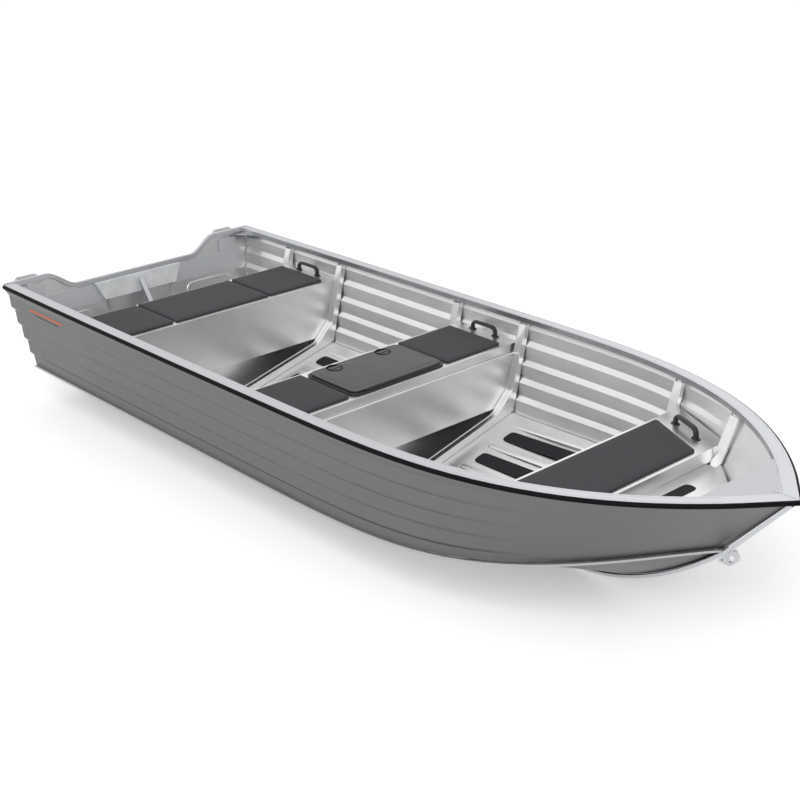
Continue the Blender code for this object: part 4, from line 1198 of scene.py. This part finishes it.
class BOAT_OT_fittings(bpy.types.Operator):
    """Dress handles, hatch, latches and hinge"""
    bl_idname = "boat.fittings"
    bl_label = "Handles and hatch"

    def execute(self, context):
        trim = context.scene.boat_trim
        lid = moulded("hatch_grain", tuple(trim.hatch), 0.40, 0.25)
        dark = moulded("handle_black", (0.012, 0.012, 0.013), 0.42, 0.2)
        cast = moulded("cast_grey", (0.60, 0.61, 0.62), 0.5, 0.4)
        dress(["hatch_lid"], lid, 0.0035, 40.0, 50.0, flat=True)
        dress(["hatch_frame"], dark, 0.0025, 40.0, 50.0)
        dress(["hatch_hinge"], dark, 0.0)
        for node in named("stern_handle", "middle_handle", "bow_handle"):
            grab_strap(node, dark)
        dress(named("carry_handle"), cast, 0.0, 60.0, levels=2)
        hatch_panel(lid)
        gloss = rubber("latch_black", (0.004, 0.004, 0.0045))
        for node in named("hatch_latch"):
            latch(node, gloss, lid)
        handle_feet(dark)
        carry_ribs(cast)
        hinge_knuckles(dark)
        return {"FINISHED"}


def hatch_panel(material):
    """Raised field of the lid, inside its border."""
    low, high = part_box("hatch_lid")
    rings = []
    for inset, rise in ((0.026, -0.001), (0.026, 0.0), (0.0275, 0.0009), (0.030, 0.0012)):
        outline = rounded_box(low[0] + inset, high[0] - inset, low[1] + inset, high[1] - inset, 0.030, 8)
        rings.append([Vector((x, y, high[2] + rise)) for x, y in outline])
    new_piece("hatch_panel", solid(rings), material, "lid", 35.0)


def latch(node, well, bar):
    """Round twist latch: rim and dark well, and a thumb bar across it."""
    low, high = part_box(node)
    centre = ((low[0] + high[0]) / 2.0, (low[1] + high[1]) / 2.0, low[2])
    radius = (high[0] - low[0]) / 2.0
    tall = high[2] - low[2]
    profile = [(0.001, 0.0), (radius, 0.0), (radius, tall * 0.45), (radius - 0.0012, tall * 0.75),
               (radius - 0.0030, tall * 0.8), (radius - 0.0050, tall * 0.7), (radius - 0.0075, tall * 0.15),
               (radius * 0.4, tall * 0.05), (0.001, tall * 0.05)]
    side = node[len("hatch_latch_"):]
    piece = new_piece("latch_well_" + side, turned(profile, centre, 48), well, "lid", 35.0)
    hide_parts(node)
    rings = []
    for shrink, level in ((0.0, 0.04), (0.0, 0.75), (0.0014, 1.0)):
        ring = pill(2.0 * radius - 0.014 - 2.0 * shrink, 0.019 - 2.0 * shrink, 6)
        rings.append([Vector((centre[0] + b, centre[1] + a, centre[2] + tall * level)) for a, b in ring])
    new_piece("latch_bar_" + side, solid(rings), bar, "lid", 35.0)


def grab_strap(node, material):
    """Grab handle widened into a strap across its own plane."""
    aft, fore = handle_ends(node)
    ahead = (Vector(fore) - Vector(aft)).normalized()
    square = Vector((-ahead.y, ahead.x, 0.0))
    mesh = merged(node)
    for vertex in mesh.vertices:
        vertex.co += square * (vertex.co - Vector(aft)).dot(square) * 0.45
    piece = new_piece("strap_" + node, mesh, material, "hull", 60.0)
    round_off(piece, 2)
    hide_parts(node)


def handle_feet(material):
    """Screwed feet at both ends of each grab handle."""
    meshes = []
    for node in named("stern_handle", "middle_handle", "bow_handle"):
        for x, y, z in handle_ends(node):
            rings = []
            for grow, rise in ((0.0, 0.0), (0.0, 0.003), (0.0015, 0.0045), (0.005, 0.0055)):
                outline = pill(0.046 - 2.0 * grow, 0.024 - 2.0 * grow, 8)
                rings.append([Vector((x + a, y + b, z + rise)) for a, b in outline])
            meshes.append(solid(rings))
            for reach in (-0.0155, 0.0155):
                profile = [(0.0035, 0.004), (0.0035, 0.0062), (0.0025, 0.0070), (0.0004, 0.0073)]
                meshes.append(turned(profile, (x + reach, y, z), 12))
    new_piece("handle_feet", joined(meshes), material, "hull", 40.0)


def handle_ends(node):
    """Middle of both feet of a handle on its bench."""
    low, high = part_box(node)
    points = [v.co for v in frame["nodes"][node].data.vertices if v.co.z < low[2] + 0.001]
    middle = (low[0] + high[0]) / 2.0
    feet = []
    for group in ([p for p in points if p.x < middle], [p for p in points if p.x > middle]):
        xs = [p.x for p in group]
        ys = [p.y for p in group]
        feet.append(((min(xs) + max(xs)) / 2.0, (min(ys) + max(ys)) / 2.0, low[2]))
    return feet


def carry_ribs(material):
    """Finger ribs round the stern's carrying handles."""
    paths = []
    for node in named("carry_handle"):
        low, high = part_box(node)
        reach = 0.028
        y0, y1 = sorted((low[1], high[1]))
        x = low[0] + 0.010
        z = high[2] - 0.010
        paths.append([(x, y0 + reach, z), (x, y1 - reach, z)])
    beads("carry_ribs", paths, material, 0.0118, 0.0105, 0.36, 0.0)


def hinge_knuckles(material):
    """Knuckles along the hatch hinge."""
    low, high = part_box("hatch_hinge")
    x = (low[0] + high[0]) / 2.0
    z = high[2] - 0.0032
    paths = [[(x, low[1] + 0.004, z), (x, high[1] - 0.004, z)]]
    beads("hinge_knuckles", paths, material, 0.0036, 0.024, 2.6, 0.0)


class BOAT_OT_stage(bpy.types.Operator):
    """Floor, lights, world and camera"""
    bl_idname = "boat.stage"
    bl_label = "Stage"

    def execute(self, context):
        stage = context.scene.boat_stage
        scene = context.scene
        scene.view_settings.view_transform = "Standard"
        make_world(scene)
        make_floor(stage)
        make_lights()
        make_camera(scene, stage)
        return {"FINISHED"}


def seen_rays(tree):
    """One where a ray comes from the camera, a reflection or glass, which all show the white."""
    path = tree.nodes.new("ShaderNodeLightPath")
    seen = path.outputs["Is Camera Ray"]
    for ray in ("Is Glossy Ray", "Is Transmission Ray"):
        larger = tree.nodes.new("ShaderNodeMath")
        larger.operation = "MAXIMUM"
        tree.links.new(seen, larger.inputs[0])
        tree.links.new(path.outputs[ray], larger.inputs[1])
        seen = larger.outputs[0]
    return seen


def make_world(scene):
    """Soft sky, brighter overhead and astern, and white where it is seen or reflected."""
    world = bpy.data.worlds.new("studio")
    scene.world = world
    world.use_nodes = True
    tree = world.node_tree
    tree.nodes.clear()
    place = tree.nodes.new("ShaderNodeTexCoord")
    tilt = tree.nodes.new("ShaderNodeVectorMath")
    tilt.operation = "DOT_PRODUCT"
    tilt.inputs[1].default_value = SKY_TILT
    ramp = tree.nodes.new("ShaderNodeValToRGB")
    ramp.color_ramp.elements[0].color = (*SKY[0][1], 1.0)
    ramp.color_ramp.elements[1].color = (*SKY[-1][1], 1.0)
    for share, colour in SKY[1:-1]:
        ramp.color_ramp.elements.new(share).color = (*colour, 1.0)
    light = tree.nodes.new("ShaderNodeBackground")
    white = tree.nodes.new("ShaderNodeBackground")
    white.inputs["Color"].default_value = (1.0, 1.0, 1.0, 1.0)
    mix = tree.nodes.new("ShaderNodeMixShader")
    out = tree.nodes.new("ShaderNodeOutputWorld")
    tree.links.new(place.outputs["Generated"], tilt.inputs[0])
    tree.links.new(tilt.outputs["Value"], ramp.inputs[0])
    tree.links.new(ramp.outputs[0], light.inputs["Color"])
    tree.links.new(seen_rays(tree), mix.inputs["Fac"])
    tree.links.new(light.outputs[0], mix.inputs[1])
    tree.links.new(white.outputs[0], mix.inputs[2])
    tree.links.new(mix.outputs[0], out.inputs["Surface"])


def make_floor(stage):
    """Round floor under the keel: white paper where seen, grey where it only bounces light."""
    low = CAD_BOX[0][2] - 0.002
    steps = 64
    reach = 30.0
    ring = [(reach * math.cos(2.0 * math.pi * k / steps), reach * math.sin(2.0 * math.pi * k / steps), low)
            for k in range(steps)]
    mesh = bpy.data.meshes.new("floor")
    mesh.from_pydata(ring, [], [tuple(range(steps))])
    floor = bpy.data.objects.new("floor", mesh)
    bpy.context.scene.collection.objects.link(floor)
    material = bpy.data.materials.new("floor_paper")
    material.use_nodes = True
    tree = material.node_tree
    tree.nodes.clear()
    paper = tree.nodes.new("ShaderNodeBsdfDiffuse")
    paper.inputs["Color"].default_value = (0.95, 0.95, 0.95, 1.0)
    glow = tree.nodes.new("ShaderNodeEmission")
    glow.inputs["Strength"].default_value = stage.floor
    both = tree.nodes.new("ShaderNodeAddShader")
    grey = tree.nodes.new("ShaderNodeBsdfDiffuse")
    grey.inputs["Color"].default_value = (0.20, 0.20, 0.204, 1.0)
    mix = tree.nodes.new("ShaderNodeMixShader")
    out = tree.nodes.new("ShaderNodeOutputMaterial")
    tree.links.new(paper.outputs[0], both.inputs[0])
    tree.links.new(glow.outputs[0], both.inputs[1])
    tree.links.new(seen_rays(tree), mix.inputs["Fac"])
    tree.links.new(grey.outputs[0], mix.inputs[1])
    tree.links.new(both.outputs[0], mix.inputs[2])
    tree.links.new(mix.outputs[0], out.inputs["Surface"])
    mesh.materials.append(material)


def make_lights():
    for name, place, power, size in LAMPS:
        light = bpy.data.lights.new(name, "AREA")
        light.energy = power
        light.size = size
        lamp = bpy.data.objects.new(name, light)
        lamp.location = place
        lamp.rotation_euler = (-Vector(place)).to_track_quat("-Z", "Y").to_euler()
        bpy.context.scene.collection.objects.link(lamp)


def make_camera(scene, stage):
    camera = bpy.data.cameras.new("camera")
    camera.sensor_width = 36.0
    camera.lens = CAMERA_FOCAL * camera.sensor_width / PHOTO_SIZE
    camera.clip_end = 100.0
    view = bpy.data.objects.new("camera", camera)
    view.location = CAMERA_PLACE
    view.rotation_euler = (math.pi / 2.0 - stage.elevation, 0.0, stage.azimuth)
    scene.collection.objects.link(view)
    scene.camera = view


class BOAT_PT_panel(bpy.types.Panel):
    """Steps of the boat's finish"""
    bl_label = "Boat"
    bl_idname = "BOAT_PT_panel"
    bl_space_type = "VIEW_3D"
    bl_region_type = "UI"
    bl_category = "Boat"

    def draw(self, context):
        for step in STEPS:
            self.layout.operator(step.bl_idname)
        for group in ("boat_metal", "boat_trim", "boat_stage"):
            settings = getattr(context.scene, group)
            for key in settings.__annotations__:
                self.layout.prop(settings, key)


STEPS = (BOAT_OT_hull, BOAT_OT_extrusions, BOAT_OT_welds, BOAT_OT_benches, BOAT_OT_pads, BOAT_OT_strakes,
         BOAT_OT_fittings, BOAT_OT_stage)


def register():
    for group in GROUPS:
        bpy.utils.register_class(group)
    bpy.types.Scene.boat_metal = bpy.props.PointerProperty(type=BoatMetal)
    bpy.types.Scene.boat_trim = bpy.props.PointerProperty(type=BoatTrim)
    bpy.types.Scene.boat_stage = bpy.props.PointerProperty(type=BoatStage)
    for step in STEPS:
        bpy.utils.register_class(step)
    bpy.utils.register_class(BOAT_PT_panel)


def unregister():
    bpy.utils.unregister_class(BOAT_PT_panel)
    for step in reversed(STEPS):
        bpy.utils.unregister_class(step)
    del bpy.types.Scene.boat_stage
    del bpy.types.Scene.boat_trim
    del bpy.types.Scene.boat_metal
    for group in reversed(GROUPS):
        bpy.utils.unregister_class(group)


def main():
    register()
    bpy.ops.boat.hull()
    bpy.ops.boat.extrusions()
    bpy.ops.boat.welds()
    bpy.ops.boat.benches()
    bpy.ops.boat.pads()
    bpy.ops.boat.strakes()
    bpy.ops.boat.fittings()
    bpy.ops.boat.stage()


if __name__ == "__main__":
    main()
